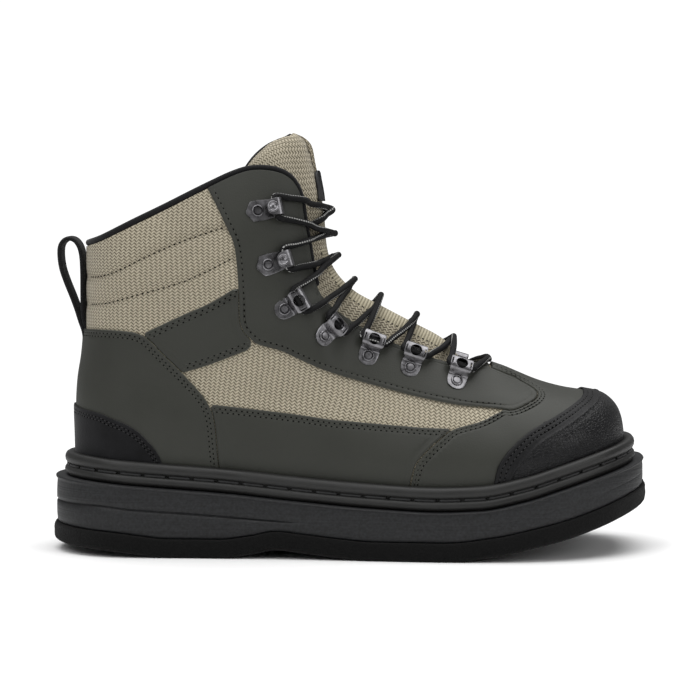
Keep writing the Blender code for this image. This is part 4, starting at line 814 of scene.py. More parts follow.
def sew(bm, points, normals, pitch, length, width, shift=0.5, height=None, material=0):
    """Adds small ellipsoids along a line, as stitches or as black dots of painted shade at the needle's holes."""
    if len(points) < 3:
        return
    lengths = np.concatenate([[0], np.cumsum(np.linalg.norm(np.diff(points, axis=0), axis=1))])
    for at in np.arange(pitch * shift, lengths[-1], pitch):
        centre = Vector([np.interp(at, lengths, points[:, k]) for k in range(3)])
        ahead = Vector([np.interp(at + 0.5, lengths, points[:, k]) for k in range(3)])
        up = Vector([np.interp(at, lengths, normals[:, k]) for k in range(3)]).normalized()
        run = ahead - centre
        if run.length < 1e-6:
            continue
        run.normalize()
        across = up.cross(run).normalized()
        thick = run.cross(across) * (height or width) / 2
        turn = Matrix((run * length / 2, across * width / 2, thick)).transposed().to_4x4()
        at_centre = Matrix.Translation(centre) @ turn
        made = bmesh.ops.create_icosphere(bm, subdivisions=1, radius=1.0, matrix=at_centre)
        for face in {f for v in made["verts"] for f in v.link_faces}:
            face.material_index = material


seams = bmesh.new()
seams.loops.layers.uv.new("map")
SEAMS = (
    (heel_panel_edge, (1.9, 3.7), -1, 0.3 + 1.7 * 0.84, 2.7, 0),
    (heel_cap_edge, (2.1, 3.6), -1, 1.8 + 1.4 * 0.86, 2.6, 1),
    (toe_cap_edge, (2.4, 4.9), 1, 1.8 + 1.3 * 0.84, 2.6, 1),
    (tip[2:], (1.9, 3.7), -1, 0.3 + 1.5 * 0.84, 2.7, 0),
    (vamp_edge, (1.9, 3.7), 1, 0.3 + 1.5 * 0.84, 2.7, 0),
    (np.vstack([eyestay_back, eyestay_low[1:]]), (2.7,), 1, 0.3 + 1.3 * 0.84, 3.1, 0),
    (band_top, (1.9, 3.7), -1, 0.3 + 1.0 * 0.84, 3.4, 0),
    (band_low, (1.9, 3.7), 1, 0.3 + 1.0 * 0.84, 3.4, 0),
    (guard_top, (1.9, 3.7), -1, 0.3 + 1.0 * 0.84, 2.9, 0),
)
for side in (-1, 1):
    for line, insets, turn, out, pitch, tone in SEAMS:
        for row, inset in enumerate(insets):
            points, normals = seam_line(line, side, inset * turn * -side, out)
            shift = 0.5 + 0.5 * row
            sew(seams, points, normals, pitch, pitch * 0.78, 0.62, shift, 0.5, tone)
            # black dots of painted shade at the needle holes between the stitches
            sew(seams, points, normals, pitch, 1.05, 1.0, shift + 0.5, 0.46, 2)
    for row in QUILT_ROWS:
        fine = curve_through(row, 6)
        fine = fine[fine[:, 0] < np.interp(-fine[:, 1], -eyestay_back[:, 1], eyestay_back[:, 0]) - 1]
        points, normals = seam_line(fine, side, 0.0, -0.75)
        # the quilt rows get only black dots of painted shade at their stitches
        sew(seams, points, normals, 2.9, 1.5, 0.8, material=2)
store(seams, "upper_seams", [olive_thread, thread, painted_hole_shade])

# Collar binding.
# Black knitted tape folded over the top of the collar and down the throat's edges, sewn through.
# Its fine ribs run along it and give a dull, almost even black.
tape, tree, shader = finish_named("black_tape", Roughness=0.9, Specular_IOR_Level=0.25, Sheen_Weight=0.1)
place = add(tree, "SeparateXYZ", {0: add(tree, "UVMap", uv_map="map")})
rib = add(tree, "Math", {0: place.outputs["X"], 1: 0.45}, operation="DIVIDE")
rib = add(tree, "Math", {0: rib, 1: 1.0}, operation="PINGPONG")
tint = add(tree, "ValToRGB", {0: rib}, stops=((0.0, "#0a0a0b"), (1.0, "#131315")))
relief = add(tree, "Bump", {"Height": rib, "Strength": 0.35, "Distance": 0.00015})
add(tree, shader, {"Base Color": tint, "Normal": relief})


def tube(points, radius, sides=16):
    """A round cord along points, with a map along and around it."""
    points = np.array(points, float)
    run0, run1 = points[0] - points[1], points[-1] - points[-2]
    run0, run1 = run0 / np.linalg.norm(run0), run1 / np.linalg.norm(run1)
    caps = np.array([(1.0, 0.0), (0.87, 0.5), (0.5, 0.87)]) * radius
    first = [points[0] + run0 * ahead for ahead, _ in caps]
    last = [points[-1] + run1 * ahead for ahead, _ in caps[::-1]]
    sizes = np.array([*(r for _, r in caps), *[radius] * len(points), *(r for _, r in caps[::-1])])
    points = np.vstack([first, points, last])
    run = np.gradient(points, axis=0)
    run /= np.linalg.norm(run, axis=1)[:, None]
    up = np.cross(run[0], (0.31, 0.17, 0.93))
    ups = []
    for point, way in zip(points, run):
        up = up - way * (up @ way)
        up /= np.linalg.norm(up)
        ups.append(up)
    ups = np.array(ups)
    sideways = np.cross(run, ups)
    turn = np.linspace(0, 2 * math.pi, sides + 1)
    ring = (ups[:, None] * np.cos(turn)[None, :, None] + sideways[:, None] * np.sin(turn)[None, :, None])
    grid = points[:, None] + ring * sizes[:, None, None]
    lengths = np.concatenate([[0], np.cumsum(np.linalg.norm(np.diff(points, axis=0), axis=1))])
    uv = np.stack(np.broadcast_arrays(lengths[:, None], turn[None, :] * radius), axis=-1)
    return weld(sheet(grid, uv, flip=True), 0.005)


BINDING_RADIUS = 1.8
top_row = rows[:, -1]
top_row = top_row[top_row[:, 1] > 0.69 * COLLAR_HEIGHT]
halves = []
for side in (-1, 1):
    at, normal = surface(top_row[:, 0], top_row[:, 1], side)
    run = np.gradient(at, axis=0)
    outward = np.cross(run, normal) * side
    outward /= np.linalg.norm(outward, axis=1)[:, None]
    halves.append((at - normal * 0.9 + outward * (BINDING_RADIUS + 0.2))[4:])
back = np.array([[top_row[0][0] + BINDING_RADIUS, 0, top_row[0][1] + BINDING_RADIUS - 0.4]])
binding_line = np.vstack([halves[0][::-1], back, halves[1]])
binding_line = along(curve_through(binding_line[::3], 4), np.linspace(0, 1, 420))
store(tube(binding_line, BINDING_RADIUS), "collar_tape", tape, ["collar_binding"])

# Tongue.
# The same tan mesh over thick foam, with a ribbed strip sewn down its middle under the lace.
# Its inner face is black lining, its rim is bound in tape, and a bare woven label is sewn near the top.
TONGUE_ROWS = (
    (0.300, 0.4615, 0.110, 0.000, 0.0, 0.00), (0.256, 0.4840, 0.150, 0.000, 0.0, 0.00),
    (0.216, 0.5170, 0.190, 0.000, 0.0, 0.00), (0.172, 0.5530, 0.220, 0.000, 0.9, 0.00),
    (0.110, 0.5980, 0.240, 0.000, 1.0, 0.00), (0.054, 0.6400, 0.250, 0.000, 1.0, 0.00),
    (0.006, 0.6780, 0.260, 0.000, 1.0, 0.00), (-0.029, 0.7320, 0.300, 0.000, 1.0, 0.00),
    (-0.043, 0.7900, 0.350, 0.000, 1.0, 0.00), (-0.048, 0.8680, 0.390, 0.010, 1.0, 0.00),
    (-0.056, 0.9510, 0.460, 0.035, 1.0, 0.00), (-0.0645, 1.0120, 0.480, 0.072, 1.0, 0.00),
    (-0.070, 1.0560, 0.500, 0.092, 1.0, 0.04), (-0.077, 1.0840, 0.500, 0.110, 1.0, 0.32),
)
TONGUE_MIDDLE = 8.5
TONGUE_EDGE = 4.0
TONGUE_UNDER = 5.1
LABEL_ROWS = (
    (-0.0520, 0.9120, 0.026, 0.00, 1.0, 0.00), (-0.0545, 0.9390, 0.026, 0.00, 1.0, 0.00),
    (-0.0585, 0.9690, 0.026, 0.00, 1.0, 0.00), (-0.0605, 0.9850, 0.026, 0.00, 1.0, 0.00),
)


def tongue_faces(table, per_span, across, outs, lift=0.0):
    """Outer and inner faces of a padded sheet that follows the front line, as rows of points."""
    fine = curve_through(table, per_span)
    line = fine[:, :2] * (UPPER_LENGTH, COLLAR_HEIGHT)
    run = np.gradient(line, axis=0)
    run /= np.linalg.norm(run, axis=1)[:, None]
    level = run[:, 0] * (1 - smooth((line[:, 1] / COLLAR_HEIGHT - 0.73) / 0.12))
    inward = np.stack([-run[:, 1], level], axis=1)[:, None]
    reach, drop, swell, rim = (np.clip(fine[:, k], 0, 1)[:, None] for k in (2, 3, 4, 5))
    t = across[None, :]
    depth = np.maximum(t * t * reach * SHAFT_WIDTH, 0.02)
    flat = line[:, None] + inward * depth[..., None]
    shoulder = 4.0 * 4 * t * t * (1 - t * t) * smooth((line[:, 1] - 190) / 28)[:, None]
    px, pz = flat[..., 0], flat[..., 1] - drop * np.abs(t) ** 6 * COLLAR_HEIGHT + shoulder
    side = np.where(t < 0, -1.0, 1.0) * np.ones_like(px)
    on, normal = surface(px, pz, side)
    width = np.abs(on[..., 1] - middle_y(px))
    blend = smooth((width - 0.5) / (3.0 + 7.0 * smooth((line[:, 1:] - 170) / 30)))[..., None]
    ahead = np.concatenate([-inward[..., :1], np.zeros_like(inward[..., :1]), -inward[..., 1:]], axis=-1)
    normal = normal * blend + ahead * (1 - blend)
    normal /= np.linalg.norm(normal, axis=-1, keepdims=True)
    under = TONGUE_UNDER * (1 - swell * (1 - smooth((width - 5) / 14))) + rim * TONGUE_MIDDLE - lift
    thick = outs[0] + (outs[1] - outs[0]) * t * t - 1.6 * rim * TONGUE_MIDDLE
    return on, normal, under, np.broadcast_to(thick, under.shape), line


across = np.sin(np.linspace(-1, 1, 61) * math.pi / 2) * 0.35 + np.linspace(-1, 1, 61) * 0.65
on, normal, under, thick, line = tongue_faces(TONGUE_ROWS, 8, across, (TONGUE_MIDDLE, TONGUE_EDGE))
count = len(line)
from_top = np.concatenate([[0], np.cumsum(np.linalg.norm(np.diff(line[::-1], axis=0), axis=1))])[::-1]
top_round = np.sqrt(1 - (1 - np.clip(from_top / 4.5, 0, 1)) ** 2)[:, None]
side_round = np.sqrt(1 - np.abs(across) ** 14)[None, :]
half = np.maximum(thick, 1.2) / 2 * np.maximum(top_round * side_round, 0.02)
middle_depth = under + np.maximum(thick, 1.2) / 2
outer = on - normal * (middle_depth - half)[..., None]
inner = on - normal * (middle_depth + half)[..., None]
steps = np.linalg.norm(np.diff(outer, axis=1), axis=-1)
girth = np.concatenate([np.zeros((count, 1)), np.cumsum(steps, axis=1)], axis=1)
girth -= girth[:, 30:31]
length_along = np.broadcast_to(from_top[:, None], girth.shape)
tongue_uv = np.stack([girth, length_along], axis=-1)

tongue_cloth = mesh_cloth_finish("tan_tongue_mesh", turned_up=True)
# Level ribs of tan yarn, with a row of dark stitches down each edge of the strip
tongue_strip, tree, shader = finish_named("tan_ribbed_strip", Roughness=0.9, Specular_IOR_Level=0.25,
                                          Sheen_Weight=0.15)
place = add(tree, "SeparateXYZ", {0: add(tree, "UVMap", uv_map="map")})
ribs = add(tree, "Math", {0: place.outputs["Y"], 1: 0.85}, operation="DIVIDE")
ribs = add(tree, "Math", {0: ribs, 1: 1.0}, operation="PINGPONG")
fibres = add(tree, "TexNoise", {"Vector": add(tree, "TexCoord").outputs["Object"], "Scale": scale_for(0.6667),
                                "Detail": 3.0})
ribbed = add(tree, "Math", {0: fibres, 1: 0.5}, operation="SUBTRACT")
ribbed = add(tree, "Math", {0: ribbed, 1: 0.6}, operation="MULTIPLY")
ribbed = add(tree, "Math", {0: ribs, 1: ribbed}, operation="ADD")
off_middle = add(tree, "Math", {0: place.outputs["X"]}, operation="ABSOLUTE")
near_seam = add(tree, "Math", {0: off_middle, 1: 11.6}, operation="SUBTRACT")
near_seam = add(tree, "Math", {0: near_seam}, operation="ABSOLUTE")
near_seam = add(tree, "Math", {0: near_seam, 1: 0.42}, operation="LESS_THAN")
holes = add(tree, "Math", {0: place.outputs["Y"], 1: 1.3}, operation="DIVIDE")
holes = add(tree, "Math", {0: holes, 1: 1.0}, operation="PINGPONG")
holes = add(tree, "Math", {0: holes, 1: 0.55}, operation="GREATER_THAN")
tones = add(tree, "ValToRGB", {0: ribbed}, stops=((0.0, "#6b6554"), (0.35, "#9b937d"), (1.0, "#b7af99")))
sewn = add(tree, "Math", {0: near_seam, 1: holes}, operation="MULTIPLY")
sewn = add(tree, "Mix", {0: sewn, 6: tones, 7: colour("#2c2a24")}, data_type="RGBA")
relief = add(tree, "Bump", {"Height": ribbed, "Strength": 0.6, "Distance": 0.0005})
add(tree, shader, {"Base Color": sewn.outputs[2], "Normal": relief})

face = sheet(outer, tongue_uv, flip=False)
lining_face = sheet(inner, tongue_uv, flip=True)
for part in lining_face.faces:
    part.material_index = 1
layer = face.loops.layers.uv["map"]
for part in face.faces:
    u, v = np.mean([loop[layer].uv[:] for loop in part.loops], axis=0)
    if abs(u) < 12.4 and v > 62:
        part.material_index = 2
tongue_bm = weld(joined(face, lining_face), 0.15)
bmesh.ops.recalc_face_normals(tongue_bm, faces=tongue_bm.faces)
tongue = store(tongue_bm, "tongue_padded", [tongue_cloth, lining, tongue_strip], ["tongue"])

drawn_in = 0.7 + 2.4 * np.exp(-(across / 0.3) ** 2) * smooth((line[:, 1:] - 200) / 12)
middle_face = on - normal * (middle_depth + drawn_in)[..., None]
rim_rows = slice(0, count - 2)
free = line[rim_rows, 1] > 118
rims = []
for edge_column, top_columns in ((0, slice(1, 22, 2)), (-1, slice(-2, -23, -2))):
    rim_line = np.vstack([middle_face[rim_rows, edge_column][free], middle_face[-2, top_columns]])
    rims.append(tube(along(curve_through(rim_line[::2], 4), np.linspace(0, 1, 180)), 1.25, 12))
store(joined(*rims), "tongue_rim_tape", tape)

# A smooth black weave, a little glossier than the tape round it, with its threads drawn coarse
label_cloth, tree, shader = finish_named("woven_label", Roughness=0.6, Base_Color=colour("#161618"))
weave = add(tree, "TexChecker", {"Vector": add(tree, "TexCoord").outputs["Object"], "Scale": scale_for(0.4545)})
relief = add(tree, "Bump", {"Height": weave.outputs[1], "Strength": 0.3, "Distance": 0.0001})
add(tree, shader, {"Normal": relief})
on, normal, under, thick, _ = tongue_faces(LABEL_ROWS, 4, np.linspace(-1, 1, 17), (0.9, 0.9), lift=1.7)
outer = on - normal * under[..., None]
inner = on - normal * (under + 1.2)[..., None]
label = joined(sheet(outer), sheet(inner, flip=True))
bmesh.ops.bridge_loops(label, edges=[e for e in label.edges if e.is_boundary])
bmesh.ops.recalc_face_normals(label, faces=label.faces)
store(label, "tongue_label_woven", label_cloth, ["tongue_label"])

# Pull loop.
# Black ribbed polyester webbing 20 mm wide, folded into a finger loop.
# Its ends are caught under the heel panel's top edge.
# Coarse lengthwise ribs crossed by the weave's rows, drawn as coarse as they need to show
webbing, tree, shader = finish_named("black_webbing", Roughness=0.85, Specular_IOR_Level=0.25,
                                     Sheen_Weight=0.06)
place = add(tree, "SeparateXYZ", {0: add(tree, "UVMap", uv_map="map")})
rib = add(tree, "Math", {0: place.outputs["X"], 1: 0.6}, operation="DIVIDE")
rib = add(tree, "Math", {0: rib, 1: 1.0}, operation="PINGPONG")
cord_rows = add(tree, "Math", {0: place.outputs["Y"], 1: 0.9}, operation="DIVIDE")
cord_rows = add(tree, "Math", {0: cord_rows, 1: 1.0}, operation="PINGPONG")
woven = add(tree, "Math", {0: rib, 1: cord_rows}, operation="MULTIPLY")
tint = add(tree, "ValToRGB", {0: woven}, stops=((0.0, "#060607"), (0.8, "#141415")))
relief = add(tree, "Bump", {"Height": woven, "Strength": 0.6, "Distance": 0.00035})
add(tree, shader, {"Base Color": tint, "Normal": relief})
LOOP_PATH = (
    (-140.6, 110.0), (-141.4, 117.0), (-143.4, 125.0), (-143.8, 135.0), (-143.8, 148.0), (-144.2, 157.0),
    (-145.4, 162.4),
    (-147.8, 165.9), (-150.9, 167.0), (-153.9, 165.7), (-155.7, 162.5), (-155.9, 157.0), (-154.9, 150.5),
    (-152.6, 143.6), (-149.9, 136.8), (-147.2, 129.5), (-145.2, 123.0), (-143.2, 117.0), (-142.4, 110.0),
)
path = along(curve_through(LOOP_PATH, 8), np.linspace(0, 1, 150))
run = np.gradient(path, axis=0)
run /= np.linalg.norm(run, axis=1)[:, None]
aside = np.stack([-run[:, 1], run[:, 0]], axis=1)
turn = np.linspace(0, 2 * math.pi, 29)
wide = 10.0 * np.sign(np.cos(turn)) * np.abs(np.cos(turn)) ** 0.35
deep = 1.3 * np.sign(np.sin(turn)) * np.abs(np.sin(turn)) ** 0.6
grid = np.stack([path[:, None, 0] + aside[:, None, 0] * deep, np.broadcast_to(wide, (150, 29)),
                 path[:, None, 1] + aside[:, None, 1] * deep], axis=-1)
lengths = np.concatenate([[0], np.cumsum(np.linalg.norm(np.diff(path, axis=0), axis=1))])
loop = weld(sheet(grid, np.stack(np.broadcast_arrays(lengths[:, None], wide[None]), axis=-1)), 0.005)
bmesh.ops.holes_fill(loop, edges=[e for e in loop.edges if e.is_boundary])
bmesh.ops.recalc_face_normals(loop, faces=loop.faces)
store(loop, "pull_loop_webbing", webbing, ["pull_loop"])

# Insole.
# A black cloth-covered foam footbed, cupped a little at its edge, lying loose on the midboard.
INSOLE = 5.0


def sole_ring(depth, out):
    """x and y of points round the upper at a depth below the welt's top, moved out at ends and sides."""
    row = rows[:, 4] + (rows[:, 0] - rows[:, 4]) * depth / WELT_HEIGHT
    y = [side_y(row[:, 0], row[:, 1], side) for side in (-1, 1)]
    for line in y:
        line[[0, -1]] = middle_y(row[[0, -1], 0])
    ring = np.vstack([np.stack([row[:, 0], y[0]], 1), np.stack([row[::-1, 0], y[1][::-1]], 1)[1:-1]])
    run = np.roll(ring, -1, axis=0) - np.roll(ring, 1, axis=0)
    run /= np.linalg.norm(run, axis=1)[:, None]
    return ring + np.stack([run[:, 1], -run[:, 0]], axis=1) * np.broadcast_to(out, (len(ring), 2))


def wall_between(rings):
    """A band of faces through closed rings, each (n, 3), low to high, mapped by girth and height."""
    grid = np.stack([np.vstack([ring, ring[:1]]) for ring in rings])
    steps = np.linalg.norm(np.diff(grid[0], axis=0), axis=1)
    girth = np.broadcast_to(np.concatenate([[0], np.cumsum(steps)]), grid.shape[:2])
    return sheet(grid, np.stack([girth, grid[..., 2]], axis=-1))


def cap_over(ring, across):
    """Closes a ring from side to side."""
    count = len(ring)
    half = count // 2
    outer, inner = ring[:half + 1], ring[(count - np.arange(half + 1)) % count]
    t = np.linspace(0, 1, across)[None, :, None]
    grid = outer[:, None] + (inner - outer)[:, None] * t
    return sheet(grid, grid[..., :2])


def ring_at(xy, height):
    return np.column_stack([xy, height(xy[:, 0])])


def solid_between(rings, across=13):
    """A closed solid: a band through the rings and a cap on the first and the last."""
    solid = weld(joined(wall_between(rings), cap_over(rings[0], across), cap_over(rings[-1], across)), 0.01)
    bmesh.ops.dissolve_degenerate(solid, edges=solid.edges, dist=0.005)
    bmesh.ops.recalc_face_normals(solid, faces=solid.faces)
    return solid


def plateau_z(x):
    return feather_z(x) - INSOLE - 0.6


footbed = [ring_at(sole_ring(INSOLE, (-4.4, -4.4)), lambda x: plateau_z(x) + 0.3),
           ring_at(sole_ring(0, (-4.6, -4.6)), lambda x: plateau_z(x) + 0.3 + INSOLE),
           ring_at(sole_ring(0, (-5.6, -5.6)), lambda x: plateau_z(x) + 0.8 + INSOLE),
           ring_at(sole_ring(0, (-8.5, -8.5)), lambda x: plateau_z(x) + INSOLE)]
store(solid_between(footbed), "insole_footbed", lining, ["insole"])

# Midsole.
# Moulded black EVA and rubber, cemented under the upper.
# It has fine moulding lines along its wall, a thin lip on top and a cut groove at the heel.
SOLE_RISE = (
    (-0.550, 5.00), (-0.500, 4.24), (-0.430, 3.12), (-0.380, 1.44), (-0.335, 0.0), (-0.235, 0.0),
    (-0.180, 2.10), (-0.135, 4.60), (-0.090, 3.40), (-0.030, 1.50), (0.040, 0.0), (0.170, 0.0),
    (0.250, 2.50), (0.325, 7.00), (0.390, 11.50), (0.450, 16.75), (0.515, 23.00), (0.560, 27.00),
)
FELT = 9.8
FELT_OUT = np.array((14.4, 12.0))
MIDSOLE_OUT = np.array((12.8, 10.4))
WELT_OUT = np.array((7.8, 6.2))
GROOVE_LINE = ((-170, 27.4), (-158.9, 26.8), (-135.8, 27.0), (-113.9, 25.1), (-87.1, 23.4), (-67.3, 22.0),
               (-36.6, 19.7), (-10, 18.6), (30, 17.8), (80, 21.0), (110, 28.0), (140, 37.0), (170, 46.0))


def sole_bottom(x):
    return read(SOLE_RISE, np.asarray(x) / UPPER_LENGTH)


def sole_ring_level(out, extra, height):
    """A ring of the sole's wall, moved out by its own overhang and a little extra."""
    return ring_at(sole_ring(0, out + np.asarray(extra)[..., None]), height)


# Level moulding lines and fine specks break up the dark rubber's shine
rubber, tree, shader = finish_named("black_moulded_rubber", Specular_IOR_Level=0.35)
place3 = add(tree, "TexCoord").outputs["Object"]
stretched = add(tree, "Mapping", {"Vector": place3, "Scale": (scale_for(83.3), scale_for(83.3), scale_for(0.6667))})
lines = add(tree, "TexNoise", {"Vector": stretched, "Scale": 1.0, "Detail": 3.0})
specks = add(tree, "TexNoise", {"Vector": place3, "Scale": scale_for(1.429), "Detail": 3.0})
tint = add(tree, "ValToRGB", {0: specks}, stops=((0.3, "#0f0f10"), (0.7, "#202123")))
rough = add(tree, "ValToRGB", {0: lines}, stops=((0.3, 0.50), (0.7, 0.66)))
low_specks = add(tree, "Math", {0: specks, 1: 0.35}, operation="MULTIPLY")
height = add(tree, "Math", {0: lines, 1: low_specks}, operation="ADD")
relief = add(tree, "Bump", {"Height": height, "Strength": 0.5, "Distance": 0.00035})
add(tree, shader, {"Base Color": tint, "Roughness": rough, "Normal": relief})

ring_x = sole_ring(0, MIDSOLE_OUT)[:, 0]
groove_depth = 1.3 * smooth((-20 - ring_x) / 25)


def midsole_height(share):
    """Height at a share of the wall: 0 at the felt, 1 at the groove line, 2 at the top."""
    def height(x):
        low, middle, top = sole_bottom(x) + FELT + 0.3, read(GROOVE_LINE, x), midsole_top(x)
        return np.where(share < 1, low + (middle - low) * share, middle + (top - middle) * (share - 1))
    return height


MIDSOLE_WALL = (
    (0.0, -1.0, 0), (0.03, -0.4, 0), (0.10, 0.0, 0), (0.35, 0.25, 0), (0.70, 0.3, 0), (0.92, 0.25, 0),
    (0.97, 0.2, 0.4), (1.0, 0.1, 1.0), (1.03, 0.2, 0.4), (1.08, 0.25, 0), (1.30, 0.25, 0), (1.60, 0.1, 0),
    (1.80, -0.1, 0), (1.86, -0.1, 0),
    (1.885, 0.55, 0), (1.93, 0.75, 0), (1.975, 0.6, 0), (2.0, 0.0, 0),
)
wall_rings = [sole_ring_level(MIDSOLE_OUT, extra - groove_depth * cut, midsole_height(share))
              for share, extra, cut in MIDSOLE_WALL]
wall_rings.append(ring_at(sole_ring(WELT_HEIGHT, (-4.2, -4.2)), midsole_top))
wall_rings.append(ring_at(sole_ring(INSOLE, (-4.2, -4.2)), plateau_z))
store(solid_between(wall_rings), "midsole_wall", rubber, ["midsole"])

# Felt outsole.
# Needled wool and polyester felt about 10 mm thick, black, cut square and cemented on.
# Its cut edge is fuzzy and a little ragged.
# Fuzz takes all the shine away, so this is the darkest band of the boot. Its tufts are drawn 1.2 mm across
felt, tree, shader = finish_named("black_felt", Roughness=1.0, Specular_IOR_Level=0.15, Sheen_Weight=0.04,
                                  Sheen_Roughness=0.6)
place3 = add(tree, "TexCoord").outputs["Object"]
fuzz = add(tree, "TexNoise", {"Vector": place3, "Scale": scale_for(1.176), "Detail": 5.0, "Roughness": 0.7})
tint = add(tree, "ValToRGB", {0: fuzz}, stops=((0.3, "#060606"), (0.75, "#0e0e0e")))
relief = add(tree, "Bump", {"Height": fuzz, "Strength": 0.9, "Distance": 0.0008})
add(tree, shader, {"Base Color": tint, "Normal": relief})
FELT_WALL = ((0.0, -1.9), (0.04, -1.0), (0.12, -0.3), (0.25, 0.0), (0.45, 0.1), (0.65, 0.05), (0.85, 0.0),
             (0.95, -0.3), (1.0, -1.0))
felt_rings = []
for share, extra in FELT_WALL:
    ring = sole_ring_level(FELT_OUT, extra, lambda x, share=share: sole_bottom(x) + FELT * share)
    for point in ring:
        ragged = noise.noise(Vector(point) * 0.55) * 0.22 + noise.noise(Vector(point) * 0.12) * 0.18
        point[:2] *= 1 + ragged / 90
        point[2] = max(point[2] + (ragged * 0.8 if share < 0.2 else 0), 0.0)
    felt_rings.append(ring)
store(solid_between(felt_rings, 25), "outsole_felt_layer", felt, ["outsole_felt"])

# Welt.
# A black rubber strip round the foot, in two rolls with a channel between them.
# Waxed thread in long stitches lies in the channel and holds the upper to the sole.
# A shade greyer and glossier than the midsole, with its light caught on both rolls
welt_rubber, tree, shader = finish_named("black_welt_rubber", Specular_IOR_Level=0.4)
place3 = add(tree, "TexCoord").outputs["Object"]
specks = add(tree, "TexNoise", {"Vector": place3, "Scale": scale_for(1.111), "Detail": 3.0})
cloudy = add(tree, "TexNoise", {"Vector": place3, "Scale": scale_for(25.0), "Detail": 4.0})
tint = add(tree, "ValToRGB", {0: cloudy}, stops=((0.3, "#191918"), (0.7, "#222221")))
rough = add(tree, "ValToRGB", {0: cloudy}, stops=((0.3, 0.44), (0.7, 0.58)))
relief = add(tree, "Bump", {"Height": specks, "Strength": 0.25, "Distance": 0.0002})
add(tree, shader, {"Base Color": tint, "Roughness": rough, "Normal": relief})


def welt_height(share):
    return lambda x: feather_z(x) - (WELT_HEIGHT - 0.3) * (1 - share)


WELT_WALL = (
    (0.0, -0.8), (0.04, 0.1), (0.12, 0.75), (0.22, 0.9), (0.32, 0.6), (0.39, -0.1), (0.425, -1.3),
    (0.45, -1.9), (0.48, -1.9), (0.505, -1.2), (0.54, -0.1), (0.62, 0.5), (0.74, 0.7), (0.85, 0.4),
    (0.94, -0.3), (0.99, -1.3),
    (1.0, -2.4),
)
welt_rings = [ring_at(sole_ring(WELT_HEIGHT - 0.3, (0.6, 0.6)), welt_height(0.0))]
welt_rings += [sole_ring_level(WELT_OUT, extra, welt_height(share)) for share, extra in WELT_WALL]
welt_rings.append(ring_at(sole_ring(0, (0.5, 0.5)), welt_height(0.985)))
welt_rings.append(ring_at(sole_ring(3.0, (0.5, 0.5)), lambda x: feather_z(x) - 3.0))
welt_rings.append(welt_rings[0])
welt = weld(wall_between(welt_rings), 0.01)
bmesh.ops.recalc_face_normals(welt, faces=welt.faces)
store(welt, "welt_strip", welt_rubber, ["welt"])

WELT_STITCH_PITCH = 13.0
WELT_STITCH = 9.6
channel = sole_ring_level(WELT_OUT, -1.05, welt_height(0.465))
channel = np.vstack([channel, channel[:1]])
girth = np.sum(np.linalg.norm(np.diff(channel, axis=0), axis=1))
welt_thread = [tube(along(channel, np.linspace(start, start + WELT_STITCH, 8) / girth), 0.85, 8)
               for start in np.arange(2.0, girth - 12, WELT_STITCH_PITCH)]
store(joined(*welt_thread), "welt_stitches", thread)

# Hooks and eyelets.
# Stamped steel in dark nickel plate: five closed eyelets with a raised tunnel and two open hooks a side.
# Each is set through the eyestay with a rolled tubular rivet.
# Dark metal with worn, cloudy reflections
gunmetal, tree, shader = finish_named("dark_nickel_plate", Metallic=1.0)
place3 = add(tree, "TexCoord").outputs["Object"]
cloudy = add(tree, "TexNoise", {"Vector": place3, "Scale": scale_for(3.846), "Detail": 4.0})
tint = add(tree, "ValToRGB", {0: cloudy}, stops=((0.3, "#5f5e60"), (0.7, "#8d8c8f")))
rough = add(tree, "ValToRGB", {0: cloudy}, stops=((0.3, 0.22), (0.7, 0.38)))
relief = add(tree, "Bump", {"Height": cloudy, "Strength": 0.12, "Distance": 0.0001})
add(tree, shader, {"Base Color": tint, "Roughness": rough, "Normal": relief})

LACE_STOPS = (
    ("hook", -0.168, 0.886, -0.138, 0.893), ("hook", -0.150, 0.750, -0.119, 0.764),
    ("eyelet", -0.119, 0.636, -0.091, 0.659), ("eyelet", -0.050, 0.567, -0.028, 0.603),
    ("eyelet", 0.031, 0.511, 0.041, 0.553), ("eyelet", 0.108, 0.479, 0.118, 0.520),
    ("eyelet", 0.192, 0.444, 0.200, 0.483),
)
EYELET_REACH = 8.4
LACE_MIDDLE = 2.95


def with_modifiers(bm, *changes):
    """Applies modifiers, given as (kind, settings), to a bmesh."""
    mesh = bpy.data.meshes.new("work")
    bm.to_mesh(mesh)
    bm.free()
    obj = bpy.data.objects.new("work", mesh)
    bpy.context.scene.collection.objects.link(obj)
    for kind, settings in changes:
        change = obj.modifiers.new(kind, kind)
        for name, value in settings.items():
            setattr(change, name, value)
    done = bmesh.new()
    done.from_mesh(bpy.data.meshes.new_from_object(obj.evaluated_get(bpy.context.evaluated_depsgraph_get())))
    bpy.data.objects.remove(obj)
    return done


def bent_plate(path, halves_wide, across=9):
    """A strip that follows an X-Z path with a half width at each of its points."""
    path, halves_wide = np.array(path, float), np.array(halves_wide, float)
    t = np.linspace(-1, 1, across)
    grid = np.stack([np.broadcast_to(path[:, None, 0], (len(path), across)), halves_wide[:, None] * t,
                     np.broadcast_to(path[:, None, 1], (len(path), across))], axis=-1)
    return sheet(grid)


def turned(profile, at=(0.0, 0.0), segments=24):
    """A body of revolution from (radius, height) points."""
    bm = bmesh.new()
    verts = [bm.verts.new((r, 0, z)) for r, z in profile]
    edges = [bm.edges.new(pair) for pair in zip(verts[:-1], verts[1:])]
    bmesh.ops.spin(bm, geom=verts + edges, cent=(0, 0, 0), axis=(0, 0, 1), angle=2 * math.pi, steps=segments,
                   use_merge=True)
    weld(bm, 0.001)
    bmesh.ops.recalc_face_normals(bm, faces=bm.faces)
    bmesh.ops.translate(bm, verts=bm.verts, vec=(*at, 0))
    return bm


def cutter(bm):
    mesh = bpy.data.meshes.new("cutter")
    bm.to_mesh(mesh)
    bm.free()
    obj = bpy.data.objects.new("cutter", mesh)
    bpy.context.scene.collection.objects.link(obj)
    return obj


